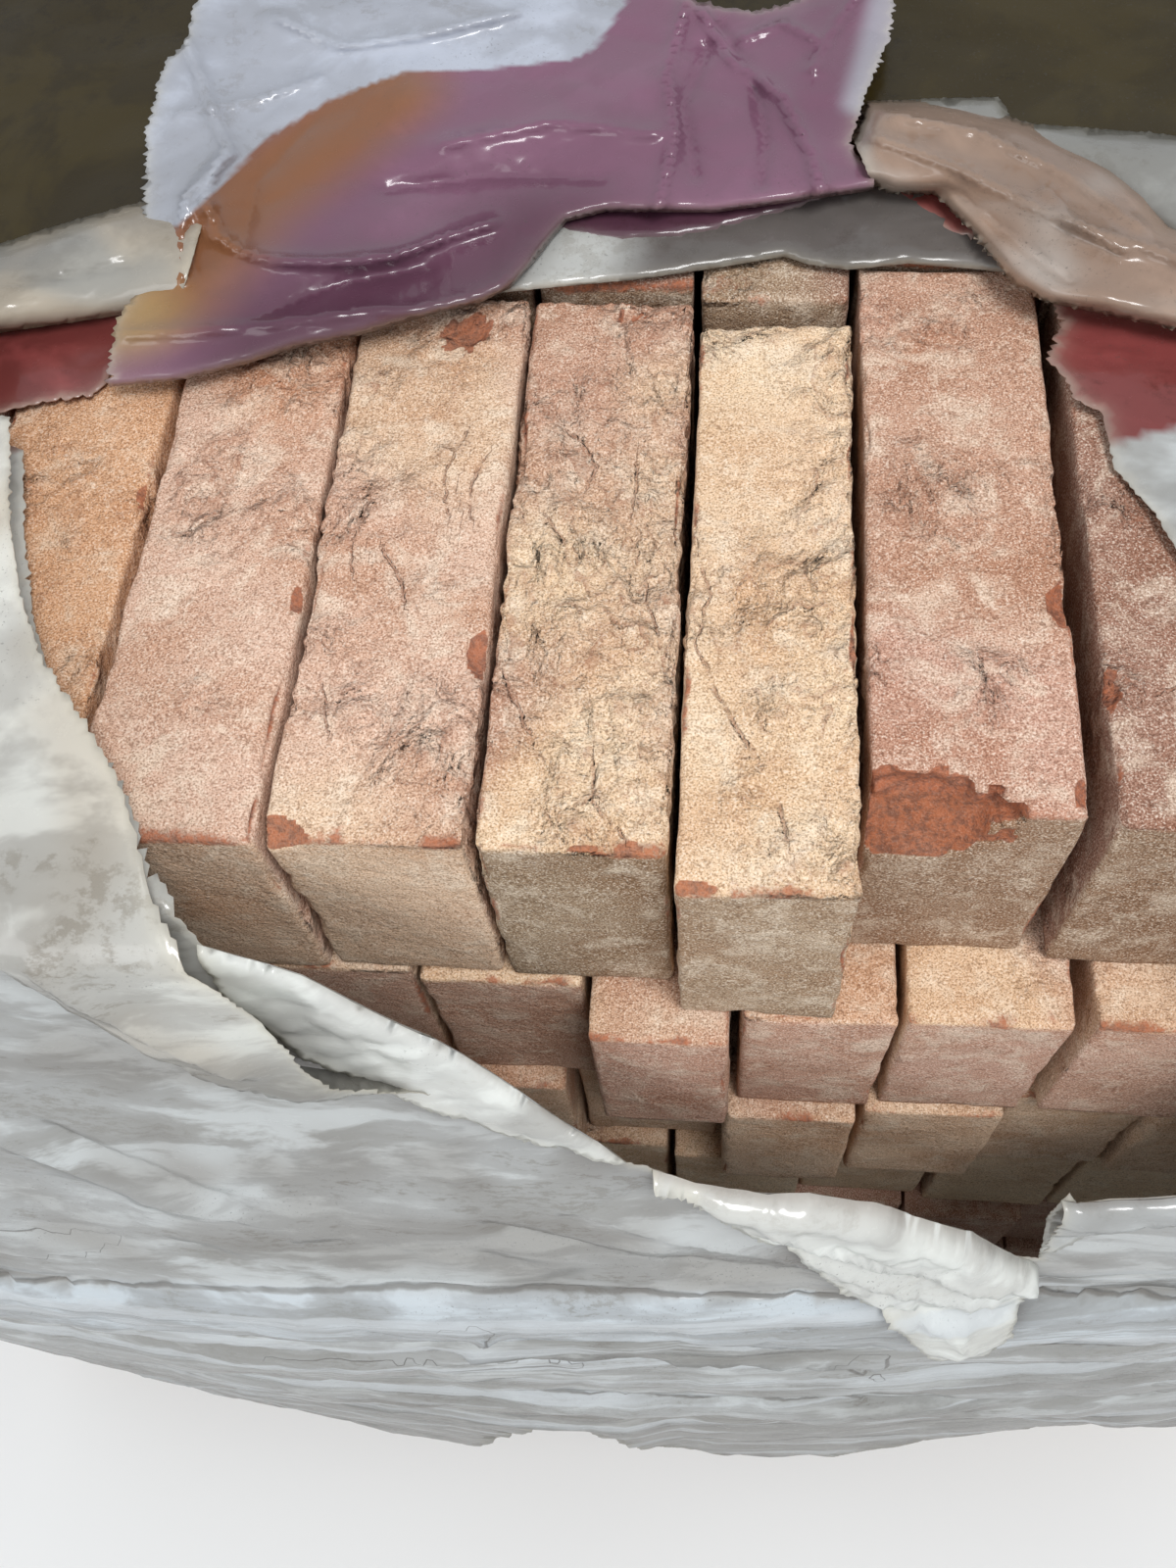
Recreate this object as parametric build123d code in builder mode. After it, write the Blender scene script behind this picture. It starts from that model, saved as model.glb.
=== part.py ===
"""A pallet of handmade facing bricks in a film hood that is torn open over the top front edge.

Millimetres. +Z is up, -Y is the front, and the origin is the middle of the pallet's underside.
The bricks stand on edge with a header to the front, in even layers, and nothing is bonded.
"""

import os

from build123d import *

# One brick, and how the bricks are packed
brick_length = 215.0
brick_height = 102.5
brick_thickness = 58.0
widest_brick = 61.0
columns = 16
rows = 4
layers = 8
side_gap = 2.0
row_gap = 9.0
arris_bevel = 1.6
worn_bevel = 2.6

# Pallet timbers
pallet_side_margin = 21.0
pallet_front_margin = 6.5
base_board_width = 100.0
base_board_thickness = 22.0
bearer_width = 100.0
bearer_height = 78.0
deck_board_width = 100.0
deck_board_thickness = 22.0
bearer_count = 3
deck_board_count = 7
base_board_count = 3
timber_arris = 2.0

# Film hood. The wall is a stand-in for film about 0.15 mm thick
film_wall = 2.5
film_rest_gap = 0.3
film_side_gap = 4.0
film_corner = 14.0
top_corner_bulge = 10.0
top_front_bulge = 16.0
waist_drop = 250.0
waist_front_bulge = 74.0
waist_corner_bulge = 34.0
waist_side_bulge = 7.0
hem_height = 62.0
hem_front_bulge = 112.0
hem_corner_bulge = 48.0
hem_side_bulge = 11.0
side_hem_above_deck = 12.0
skirt_pallet_clearance = 6.0
top_flap_turn = 8.0
top_flap_reach = 165.0
front_flap_turn = 6.0
front_flap_reach = 46.0
turned_edge_turn = 4.0
turned_edge_reach = 24.0

# Levels and places that follow from the sizes above
column_pitch = brick_thickness + side_gap
bearer_base = base_board_thickness
deck_base = bearer_base + bearer_height
deck_top = deck_base + deck_board_thickness
pack_top = deck_top + layers * brick_height
pack_width = columns * column_pitch - side_gap
pack_depth = rows * brick_length + (rows - 1) * row_gap
pack_left = -pack_width / 2
pack_front = -pack_depth / 2
pack_back = pack_depth / 2
pallet_length = pack_width + 2 * pallet_side_margin
pallet_depth = pack_depth + 2 * pallet_front_margin
film_top = pack_top + film_rest_gap + film_wall

# Handmade bricks differ, so seams wander. For each layer: column number, and how far the left
# side of that brick stands from its even place. Between two columns the shift changes evenly.
seam_shift = {
    8: {0: 0.0, 7: -0.2, 8: 0.9, 9: -1.1, 10: -6.7, 11: 1.0, 16: 0.0},
    7: {0: 0.0, 7: 27.7, 8: 27.7, 9: 19.9, 10: 15.6, 11: 17.2, 16: 0.0},
    6: {0: 0.0, 9: 15.7, 10: 11.0, 16: 0.0},
    5: {0: 0.0, 7: -14.0, 12: 5.0, 16: 0.0},
    4: {0: 0.0, 5: 12.0, 10: -8.0, 16: 0.0},
    3: {0: 0.0, 6: -9.0, 13: 7.0, 16: 0.0},
    2: {0: 0.0, 5: 8.0, 10: -6.0, 16: 0.0},
    1: {0: 0.0, 8: -5.0, 16: 0.0},
}

# Bricks that are thinner than their place allows, by (layer, column)
thin_bricks = {
    (8, 7): 58.8,
    (8, 8): 55.9,
    (8, 9): 52.3,
    (8, 10): 60.6,
    (7, 8): 49.2,
    (7, 9): 53.3,
    (7, 10): 55.4,
    (6, 9): 52.8,
}

# How far a front brick stands behind the pack's front plane, by (layer, column)
front_set_back = {
    (8, 5): 0.0,
    (8, 6): 5.2,
    (8, 7): 6.5,
    (8, 8): 5.6,
    (8, 9): -5.5,
    (8, 10): 21.5,
    (8, 11): 18.7,
    (7, 8): -16.2,
    (7, 9): -6.2,
    (7, 10): -4.8,
    (7, 11): -4.4,
    (6, 9): -12.8,
    (6, 10): -7.7,
}

# Set-backs of all the other front bricks, taken in turn
common_set_backs = (3.0, -2.0, 6.0, 1.0, -5.0, 4.0, -1.0)

# Torn opening, seen from above: from its front left corner, round behind the bare bricks
torn_top = (
    (-82, -560),
    (-82, -444),
    (-130, -388),
    (-161, -303),
    (-143, -264),
    (-96, -258),
    (-46, -242),
    (2, -220),
    (26, -199),
    (99, -184),
    (120, -172),
    (143, -198),
    (179, -231),
    (173, -258),
    (192, -299),
    (206, -333),
    (256, -444),
    (256, -560),
)

# Upper edge of the film that hangs in front, from left to right: x, and depth under the pack's top
torn_front = (
    (-84, 20),
    (-78, 38),
    (-58, 52),
    (-7, 92),
    (43, 150),
    (85, 152),
    (134, 165),
    (186, 205),
    (193, 150),
    (229, 143),
    (254, 60),
    (262, 10),
)


def seam(layer, column):
    """Place along X of a column's left side in one layer."""
    shifts = seam_shift[layer]
    before = max(c for c in shifts if c <= column)
    after = min(c for c in shifts if c >= column)
    part_way = (column - before) / (after - before) if after > before else 0.0
    shift = shifts[before] + (shifts[after] - shifts[before]) * part_way
    return pack_left + column * column_pitch + shift


def set_back(layer, column, row):
    """How far a brick stands behind its even place: most at the front, none in the last row."""
    common = common_set_backs[(3 * layer + 5 * column) % len(common_set_backs)]
    front = front_set_back.get((layer, column), common)
    return front * (1 - row / (rows - 1))


def brick_layer(layer):
    """One layer of loose bricks. Those that show have bevelled arrises."""
    floor = deck_top + (layer - 1) * brick_height
    with BuildPart() as bricks:
        with BuildSketch(Plane.XY.offset(floor)):
            for column in range(columns):
                room = seam(layer, column + 1) - side_gap - seam(layer, column)
                thickness = min(thin_bricks.get((layer, column), room), room, widest_brick)
                x = seam(layer, column) + thickness / 2
                fronts = [
                    pack_front + row * (brick_length + row_gap) + set_back(layer, column, row)
                    for row in range(rows)
                ]
                with Locations(*[(x, front + brick_length / 2) for front in fronts]):
                    Rectangle(thickness, brick_length)
        extrude(amount=brick_height)
        front_row = (Axis.Y, -pack_depth, pack_front + brick_length / 4)
        if layer == layers:
            chamfer(bricks.edges().group_by(Axis.Z)[-1], worn_bevel)
            chamfer(bricks.edges().filter_by(Axis.Z).filter_by_position(*front_row), arris_bevel)
        else:
            chamfer(bricks.edges().filter_by_position(*front_row), arris_bevel)
    return bricks


def timber(width, depth, height, x, y, floor):
    """One sawn board or bearer with eased long arrises."""
    with BuildPart() as board:
        with Locations((x, y, floor + height / 2)):
            Box(width, depth, height)
        grain = Axis.X if width > depth else Axis.Y
        chamfer(board.edges().filter_by(grain), timber_arris)
    return board


def spread(count, overall, width):
    """Centres of evenly spaced timbers whose outer sides are as far apart as overall."""
    step = (overall - width) / (count - 1)
    return [-overall / 2 + width / 2 + i * step for i in range(count)]


def hood_section(height, side_bulge, corner_bulge, front_bulge, inset):
    """Level section of the film hood: straight back and sides, and a front that bows out."""
    half_width = pack_width / 2 + film_side_gap + side_bulge - inset
    back = pack_back + film_side_gap + side_bulge - inset
    corner_front = pack_front - film_side_gap - corner_bulge + inset
    middle_front = pack_front - film_side_gap - front_bulge + inset
    with BuildSketch(Plane.XY.offset(height)) as section:
        with BuildLine():
            Polyline(
                (-half_width, corner_front),
                (-half_width, back),
                (half_width, back),
                (half_width, corner_front),
            )
            ThreePointArc(
                (half_width, corner_front), (0, middle_front), (-half_width, corner_front)
            )
        make_face()
        fillet(section.vertices(), film_corner - inset)
    return section.sketch


def hood_body(top, inset):
    """Solid body inside the film's outer face, or inside its inner face with the wall as inset."""
    waist = pack_top - waist_drop
    sections = [
        hood_section(hem_height, hem_side_bulge, hem_corner_bulge, hem_front_bulge, inset),
        hood_section(waist, waist_side_bulge, waist_corner_bulge, waist_front_bulge, inset),
        hood_section(top, film_wall, top_corner_bulge, top_front_bulge, inset),
    ]
    with BuildPart() as body:
        loft(sections, ruled=True)
    return body.part


def skirt_point(x, depth):
    """Point on the outer face of the film in front, at x and at a depth under the pack's top."""
    half_width = pack_width / 2 + film_side_gap + waist_side_bulge
    drop = depth / waist_drop
    corner = top_corner_bulge + (waist_corner_bulge - top_corner_bulge) * drop
    middle = top_front_bulge + (waist_front_bulge - top_front_bulge) * drop
    bulge = corner + (middle - corner) * (1 - (x / half_width) ** 2)
    return Vector(x, pack_front - film_side_gap - bulge, pack_top - depth)


def folded_edge(start, end, outward, turn, reach):
    """Torn edge of the film, turned over outwards like a hairpin, from start to end."""
    along = (end - start).normalized()
    over_the_edge = outward.cross(along)
    with BuildPart() as flap:
        with BuildSketch(Plane(origin=start, x_dir=over_the_edge, z_dir=along)):
            with BuildLine():
                Line((-2 * turn, -film_wall / 2), (0, -film_wall / 2))
                ThreePointArc(
                    (0, -film_wall / 2), (turn, turn - film_wall / 2), (0, 2 * turn - film_wall / 2)
                )
                Spline(
                    (0, 2 * turn - film_wall / 2),
                    (-reach / 2, 1.2 * turn),
                    (-reach, film_wall),
                    tangents=[(-1, 0), (-1, -0.1)],
                )
            trace(line_width=film_wall)
        extrude(amount=(end - start).length)
    return flap.part


def film_hood():
    """Film hood over the pack, torn open over the top front edge, with its torn edges turned over."""
    up, front = Vector(0, 0, 1), Vector(0, -1, 0)
    cut_above = film_top + 20
    with BuildPart() as hood:
        add(hood_body(film_top, 0.0))
        add(hood_body(film_top - film_wall, film_wall), mode=Mode.SUBTRACT)
        with BuildSketch(Plane.XY.offset(cut_above)):
            with BuildLine():
                Polyline(*torn_top, close=True)
            make_face()
        extrude(amount=-(cut_above - pack_top + 8), mode=Mode.SUBTRACT)
        with BuildSketch(Plane.XZ.offset(pack_depth)):
            with BuildLine():
                outline = [(x, pack_top - depth) for x, depth in torn_front]
                left, right = outline[0][0], outline[-1][0]
                Polyline((left, cut_above), *outline, (right, cut_above), close=True)
            make_face()
        extrude(amount=-(pack_depth / 2 + 14), mode=Mode.SUBTRACT)
        with Locations((0, -pallet_depth / 2 - skirt_pallet_clearance, 0)):
            Box(
                2 * pack_width,
                2 * pack_depth,
                deck_top + side_hem_above_deck,
                align=(Align.CENTER, Align.MIN, Align.MIN),
                mode=Mode.SUBTRACT,
            )
        top_right, top_left = (Vector(*torn_top[i], film_top) for i in (10, 4))
        add(folded_edge(top_right, top_left, up, top_flap_turn, top_flap_reach))
        left, middle, right = (skirt_point(*torn_front[i]) for i in (1, 4, 7))
        add(folded_edge(left, middle, front, turned_edge_turn, turned_edge_reach))
        add(folded_edge(middle, right, front, front_flap_turn, front_flap_reach))
    return hood


os.makedirs("parts", exist_ok=True)


def write(piece, name):
    """Label one finished piece and write its file."""
    piece.part.label = name
    export_step(piece.part, f"parts/{name}.step")


for layer in range(1, layers + 1):
    write(brick_layer(layer), f"brick_layer_{layer}")

for number, y in enumerate(spread(bearer_count, pallet_depth, bearer_width), 1):
    bearer = timber(pallet_length, bearer_width, bearer_height, 0, y, bearer_base)
    write(bearer, f"bearer_{number}")

for number, x in enumerate(spread(deck_board_count, pallet_length, deck_board_width), 1):
    board = timber(deck_board_width, pallet_depth, deck_board_thickness, x, 0, deck_base)
    write(board, f"deck_board_{number}")

for number, x in enumerate(spread(base_board_count, pallet_length, base_board_width), 1):
    board = timber(base_board_width, pallet_depth, base_board_thickness, x, 0, 0)
    write(board, f"base_board_{number}")

write(film_hood(), "film_hood")
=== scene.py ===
# Pallet of handmade bricks under a torn film hood: the finish and the soft parts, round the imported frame
import math
import bmesh
import bpy
import numpy as np
from mathutils import Matrix, Vector
from mathutils.geometry import delaunay_2d_cdt


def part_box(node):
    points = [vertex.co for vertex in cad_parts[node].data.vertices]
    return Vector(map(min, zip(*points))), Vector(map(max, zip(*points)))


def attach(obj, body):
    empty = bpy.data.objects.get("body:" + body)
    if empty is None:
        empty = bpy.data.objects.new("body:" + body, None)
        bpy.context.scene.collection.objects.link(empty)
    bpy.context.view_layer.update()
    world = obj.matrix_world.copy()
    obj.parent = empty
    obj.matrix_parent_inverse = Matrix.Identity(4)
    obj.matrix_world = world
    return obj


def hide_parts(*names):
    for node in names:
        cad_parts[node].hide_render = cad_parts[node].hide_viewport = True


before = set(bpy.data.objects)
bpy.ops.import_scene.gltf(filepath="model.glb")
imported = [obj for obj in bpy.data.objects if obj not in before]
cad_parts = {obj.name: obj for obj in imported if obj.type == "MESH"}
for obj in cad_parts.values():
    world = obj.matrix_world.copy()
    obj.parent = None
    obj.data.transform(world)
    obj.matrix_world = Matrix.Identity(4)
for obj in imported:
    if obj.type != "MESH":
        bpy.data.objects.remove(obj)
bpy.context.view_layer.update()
mm = 0.001

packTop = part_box("brick_layer_8")[1].z
packFront = -443.5 * mm
packBack = 443.5 * mm
packSide = 479 * mm
print("frame loaded, pack top at", round(packTop, 4))


# Camera: hand-held above the front edge, looking steeply down
view = {
    "eye": Vector((72.4, -604.2, 1297.3)) * mm,
    "right": Vector((0.9951, 0.0698, -0.0705)),
    "down": Vector((0.0286, -0.8820, -0.4703)),
    "focalPixels": 1434,
    "imageHeight": 1600,
    "sensor": 36,
    "nearest": 0.01,
}


def placeCamera():
    right = view["right"].normalized()
    ahead = right.cross(view["down"]).normalized()
    up = -ahead.cross(right).normalized()
    camera = bpy.data.objects.new("camera", bpy.data.cameras.new("camera"))
    camera.data.sensor_width = view["sensor"]
    camera.data.lens = view["focalPixels"] / view["imageHeight"] * view["sensor"]
    camera.data.clip_start = view["nearest"]
    turn = Matrix((right, up, -ahead)).transposed()
    camera.matrix_world = Matrix.Translation(view["eye"]) @ turn.to_4x4()
    bpy.context.scene.collection.objects.link(camera)
    bpy.context.scene.camera = camera


placeCamera()


def seenFrom(x, y, height):
    # slides a plan point at the pack's top along the line of sight, so that it looks the same from there
    eye = view["eye"]
    share = (eye.z - packTop - height) / (eye.z - packTop)
    return eye.x + (x - eye.x) * share, eye.y + (y - eye.y) * share


# Noise on arrays of points, the same in every run
def latticeValue(x, y, z, seed):
    h = (x * 374761393 + y * 668265263 + z * 1440662683 + seed * 974711) & 0xFFFFFFFF
    h = ((h ^ (h >> 13)) * 1274126177) & 0xFFFFFFFF
    return ((h ^ (h >> 16)) & 0xFFFF) / 65535.0


def softNoise(points, size, seed):
    # the lattice is turned for each seed, so that its lines don't show
    turn = np.array(Matrix.Rotation(seed * 1.7, 3, "Z") @ Matrix.Rotation(seed * 0.9, 3, "X"))
    q = points @ turn.T / size
    cell = np.floor(q).astype(np.int64)
    f = q - cell
    f = f * f * (3 - 2 * f)
    total = np.zeros(len(points))
    for corner in range(8):
        dx, dy, dz = corner & 1, corner >> 1 & 1, corner >> 2
        weight = (f[:, 0] if dx else 1 - f[:, 0]) * (f[:, 1] if dy else 1 - f[:, 1])
        weight = weight * (f[:, 2] if dz else 1 - f[:, 2])
        total += weight * latticeValue(cell[:, 0] + dx, cell[:, 1] + dy, cell[:, 2] + dz, seed)
    return total * 2 - 1


def layered(points, *layers, unit=1.0):
    # noises on one another, each as (height, size in millimetres, seed)
    return sum(height * unit * softNoise(points, size * mm, seed) for height, size, seed in layers)


def waves(points, *layers):
    return layered(points, *layers, unit=mm)


def ease(low, high, value):
    t = np.clip((value - low) / (high - low), 0, 1)
    return t * t * (3 - 2 * t)


def distanceTo(points, starts, ends):
    # distance of each point to the nearest of the segments
    best = np.full(len(points), 1e9)
    for a, b in zip(starts, ends):
        along = b - a
        share = np.clip(((points - a) @ along) / max(along @ along, 1e-18), 0, 1)
        away = np.linalg.norm(points - a - share[:, None] * along, axis=1)
        best = np.minimum(best, away)
    return best


def inMetres(points):
    return np.array(points, float) * mm


def distanceToPath(flat, path):
    # distance to a path that is drawn in millimetres
    path = inMetres(path)
    return distanceTo(flat, path[:-1], path[1:])


def sideOfPath(flat, path):
    # distance from a path drawn in millimetres, positive on its left
    path = inMetres(path)
    best = np.full(len(flat), 1e9)
    side = np.zeros(len(flat))
    for a, b in zip(path[:-1], path[1:]):
        along = b - a
        share = np.clip(((flat - a) @ along) / (along @ along), 0, 1)
        offset = flat - a - share[:, None] * along
        away = np.linalg.norm(offset, axis=1)
        turn = along[0] * offset[:, 1] - along[1] * offset[:, 0]
        side = np.where(away < best, np.sign(turn) * away, side)
        best = np.minimum(best, away)
    return side


def nearestLine(flat, lines, furthest):
    # signed distance to the nearest of the drawn lines
    best = np.full(len(flat), furthest)
    for path in lines:
        side = sideOfPath(flat, path)
        best = np.where(np.abs(side) < np.abs(best), side, best)
    return best


# Meshes from arrays
def meshPiece(name, points, faces, values=None, smooth=True):
    mesh = bpy.data.meshes.new(name)
    corners = faces.shape[1]
    mesh.vertices.add(len(points))
    mesh.vertices.foreach_set("co", np.ascontiguousarray(points, np.float32).ravel())
    mesh.loops.add(faces.size)
    mesh.loops.foreach_set("vertex_index", np.ascontiguousarray(faces, np.int32).ravel())
    mesh.polygons.add(len(faces))
    mesh.polygons.foreach_set("loop_start", np.arange(0, faces.size, corners, dtype=np.int32))
    mesh.update(calc_edges=True)
    mesh.polygons.foreach_set("use_smooth", np.full(len(faces), smooth))
    for key, value in (values or {}).items():
        value = np.asarray(value, np.float32)
        if value.ndim == 1:
            mesh.attributes.new(key, "FLOAT", "POINT").data.foreach_set("value", value)
        else:
            colour = np.ones((len(points), 4), np.float32)
            colour[:, :3] = value
            mesh.attributes.new(key, "FLOAT_COLOR", "POINT").data.foreach_set("color", colour.ravel())
    piece = bpy.data.objects.new(name, mesh)
    bpy.context.scene.collection.objects.link(piece)
    return piece


# Materials: small helpers for node trees
def newMaterial(name):
    material = bpy.data.materials.new(name)
    material.use_nodes = True
    return material, material.node_tree, material.node_tree.nodes["Principled BSDF"]


def feed(tree, node, inputs):
    # each input gets a plain value or a link from another node's output
    for key, value in inputs.items():
        if isinstance(value, bpy.types.NodeSocket):
            tree.links.new(value, node.inputs[key])
        else:
            node.inputs[key].default_value = value


def addNode(tree, kind, inputs=None, **settings):
    node = tree.nodes.new(kind)
    for key, value in settings.items():
        setattr(node, key, value)
    feed(tree, node, inputs or {})
    return node


def objectPlace(tree):
    return addNode(tree, "ShaderNodeTexCoord").outputs["Object"]


def stretched(tree, place, scale):
    return addNode(tree, "ShaderNodeMapping", {"Vector": place, "Scale": scale}).outputs["Vector"]


def noiseOn(tree, place, scale, detail=4.0, roughness=0.6, distortion=0.0):
    inputs = {"Vector": place, "Scale": scale, "Detail": detail, "Roughness": roughness,
              "Distortion": distortion}
    return addNode(tree, "ShaderNodeTexNoise", inputs).outputs["Fac"]


def ramp(tree, value, low, high):
    inputs = {"Value": value, "From Min": low, "From Max": high}
    return addNode(tree, "ShaderNodeMapRange", inputs, interpolation_type="SMOOTHSTEP").outputs["Result"]


def between(tree, value, low, high):
    inputs = {"Value": value, "To Min": low, "To Max": high}
    return addNode(tree, "ShaderNodeMapRange", inputs).outputs["Result"]


def mixColour(tree, share, first, second, blend="MIX"):
    inputs = {0: share}
    for key, value in ((6, first), (7, second)):
        inputs[key] = (*value, 1.0) if isinstance(value, tuple) else value
    return addNode(tree, "ShaderNodeMix", inputs, data_type="RGBA", blend_type=blend).outputs[2]


def calculate(tree, operation, first, second=0.5, third=0.0):
    inputs = {0: first, 1: second, 2: third}
    return addNode(tree, "ShaderNodeMath", inputs, operation=operation).outputs[0]


def times(tree, first, second):
    return calculate(tree, "MULTIPLY", first, second)


def over(tree, colour, above, share, strength=None):
    # lays one colour over another by a share from 0 to 1
    share = share if strength is None else times(tree, share, strength)
    return mixColour(tree, share, colour, above)


def multiplied(tree, colour, factors):
    return mixColour(tree, 1.0, colour, factors, "MULTIPLY")


def shifted(tree, value, noise, reach):
    # moves a value by up to half the reach either way, so that what is drawn from it is ragged
    return calculate(tree, "ADD", value, calculate(tree, "MULTIPLY_ADD", noise, reach, -reach / 2))


def attribute(tree, name, colour=False):
    return addNode(tree, "ShaderNodeAttribute", attribute_name=name).outputs["Color" if colour else "Fac"]


def bumpFrom(tree, height, distance, strength=1.0, normal=None):
    inputs = {"Height": height, "Distance": distance, "Strength": strength}
    if normal is not None:
        inputs["Normal"] = normal
    return addNode(tree, "ShaderNodeBump", inputs).outputs["Normal"]


def linear(red, green, blue):
    # a colour as a paint chart gives it, 0 to 255, made linear
    return tuple(((c / 255 + 0.055) / 1.055) ** 2.4 if c > 10 else c / 3294 for c in (red, green, blue))


# Bricks: the clay's tones, and the sizes of the finest mesh and of the marks
clayTones = {
    "buff": linear(212, 164, 126),
    "orangeBuff": linear(208, 160, 130),
    "sandyPink": linear(214, 178, 156),
    "cream": linear(220, 188, 158),
    "yellow": linear(232, 204, 170),
    "gold": linear(226, 194, 160),
    "rose": linear(196, 154, 134),
    "tan": linear(192, 150, 126),
    "brown": linear(160, 122, 104),
    "dull": linear(160, 134, 108),
    "umber": linear(142, 120, 96),
    "bare": linear(168, 98, 66),
}

brickLook = {
    "step": 1.4 * mm,
    "lowerStep": 2.5 * mm,
    "deepStep": 3.6 * mm,
    "coarseStep": 9 * mm,
    "faceDepth": 7 * mm,
    "arrisRadius": 2.4 * mm,
    "flakeSize": 17 * mm,
    "flakeLevels": 2.0,
    "flakeHeight": 1.5 * mm,
    "crumbleDepth": 5 * mm,
    # noises as (height, size, seed)
    "unevenness": ((0.9, 55, 5), (0.45, 20, 6), (0.22, 7, 7), (0.10, 3.4, 8)),
    "patches": ((0.6, 34, 14), (0.35, 12, 15)),
    "crumbling": ((0.5, 9, 21), (0.6, 30, 22)),
    "chipEdge": ((0.35, 9, 31), (0.25, 4, 32)),
    "toneClouds": ((1.0, 80, 41), (0.3, 25, 42)),
}

# How each brick of the top row looks, by its column: two clay tones along it and the tone of its front end,
# how flaky it is from 0 to 1, the flakes' angle, and its marks. A chip is (share across, share along,
# share up, reach, depth), and a crack is drawn in millimetres from the brick's left front corner
openBricks = {
    5: {"tones": ("buff", "gold"), "folds": 0.5, "angle": 60, "chips": [(1.0, 0.62, 1.0, 9, 3)]},
    # painted light: the front ends of columns 6 and 7 get the pale cream tone, to stand in for light that the
    # film keeps from them
    6: {"tones": ("orangeBuff", "sandyPink"), "front": "cream", "folds": 0.3, "angle": 20,
        "chips": [(1.0, 0.4, 1.0, 7, 2)]},
    7: {"tones": ("sandyPink", "cream"), "front": "cream", "folds": 0.66, "angle": 15,
        "chips": [(0.1, 0.0, 1.0, 15, 5), (0.97, 0.3, 1.0, 7, 3), (0.66, 0.93, 1.0, 9, 2.6)],
        "cracks": [[(43, 152), (40, 144), (38, 132), (41, 118)], [(51, 142), (47, 132), (49, 118)],
                   [(22, 104), (27, 96), (31, 84)], [(14, 122), (10, 108), (13, 96)],
                   [(6, 60), (11, 48), (14, 36)]]},
    # painted shade: the dark umber of column 8's front end stands for the shadow of column 9, which stands
    # further out
    8: {"tones": ("tan", "yellow"), "front": "umber", "folds": 0.82, "angle": -12,
        "chips": [(0.55, 0.0, 1.0, 10, 2.6), (0.8, 0.0, 1.0, 8, 2.4), (0.62, 0.96, 1.0, 6, 1.6)],
        "cracks": [[(16, 156), (22, 149), (27, 140), (24, 131)],
                   [(40, 142), (39, 120), (43, 100), (46, 85), (52, 68)], [(4, 58), (9, 48), (16, 34)],
                   [(33, 30), (34, 18), (43, 5)], [(12, 118), (18, 108), (24, 104)]]},
    9: {"tones": ("yellow", "gold"), "folds": 0.62, "angle": 30,
        "chips": [(0.2, 0.0, 1.0, 11, 2.0), (0.6, 0.0, 1.0, 8, 1.6)],
        "cracks": [[(2, 120), (7, 100), (3, 82), (10, 66), (20, 46), (28, 30), (31, 18)]]},
    10: {"tones": ("tan", "rose"), "front": "dull", "folds": 0.34, "angle": -30,
         "chips": [(0.24, 0.0, 0.82, 28, 7), (1.0, 0.34, 1.0, 10, 6), (1.0, 0.05, 1.0, 8, 3)]},
    # column 11's dull brown tones are partly its clay and partly painted shade, from the red-printed film
    # beside it
    11: {"tones": ("brown", "brown"), "folds": 0.3, "angle": 10, "chips": [(0.0, 0.2, 1.0, 9, 3)],
         "cracks": [[(10, 40), (22, 48), (30, 44)]]},
}
frontRows = {
    7: {"columns": range(5, 13), "fineLength": 60 * mm, "front": "rose"},
    # painted light: the front ends of layers 6 and 5 get pale tones, to stand in for light that the film
    # keeps from them
    6: {"columns": range(6, 13), "fineLength": 40 * mm, "front": "cream"},
    5: {"columns": range(7, 13), "fineLength": 25 * mm, "front": "yellow"},
}
frontTones = (("tan", "cream"), ("orangeBuff", "cream"), ("sandyPink", "gold"))
secondRow = {"columns": range(6, 12), "fineLength": 22 * mm}
# painted shade: the dull brown tones stand for the shade that the film casts on the second row
shadedLook = {"tones": ("dull", "brown"), "folds": 0.3, "angle": 0}


def brickBoxes(layer):
    # each brick's lowest and highest corner, by row from the front, from 1, and column from the left, from 0
    mesh = bmesh.new()
    mesh.from_mesh(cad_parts[f"brick_layer_{layer}"].data)
    bmesh.ops.remove_doubles(mesh, verts=mesh.verts, dist=0.01 * mm)
    found = []
    left = set(mesh.verts)
    while left:
        todo = [left.pop()]
        island = []
        while todo:
            vert = todo.pop()
            island.append(vert.co[:])
            for edge in vert.link_edges:
                other = edge.other_vert(vert)
                if other in left:
                    left.remove(other)
                    todo.append(other)
        island = np.array(island)
        found.append((island.min(0), island.max(0)))
    mesh.free()
    found.sort(key=lambda box: box[0][1])
    boxes = {}
    for row in range(4):
        inRow = sorted(found[row * 16:row * 16 + 16], key=lambda box: box[0][0])
        for column, box in enumerate(inRow):
            boxes[row + 1, column] = box
    return boxes


def latticeShell(xs, ys, zs):
    # the points on the outside of a box lattice, and its quads facing outwards
    shape = (len(xs), len(ys), len(zs))
    outside = np.zeros(shape, bool)
    outside[0] = outside[-1] = True
    outside[:, 0] = outside[:, -1] = True
    outside[:, :, 0] = outside[:, :, -1] = True
    number = np.full(shape, -1)
    number[outside] = np.arange(outside.sum())
    i, j, k = np.nonzero(outside)
    points = np.stack((xs[i], ys[j], zs[k]), 1)
    quads = []
    sides = ((number[0], True), (number[-1], False), (number[:, 0], False),
             (number[:, -1], True), (number[:, :, 0], True), (number[:, :, -1], False))
    for grid, turned in sides:
        ring = [grid[:-1, :-1], grid[1:, :-1], grid[1:, 1:], grid[:-1, 1:]]
        quad = np.stack([corner.ravel() for corner in ring], 1)
        quads.append(quad[:, ::-1] if turned else quad)
    return points, np.concatenate(quads)


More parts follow.
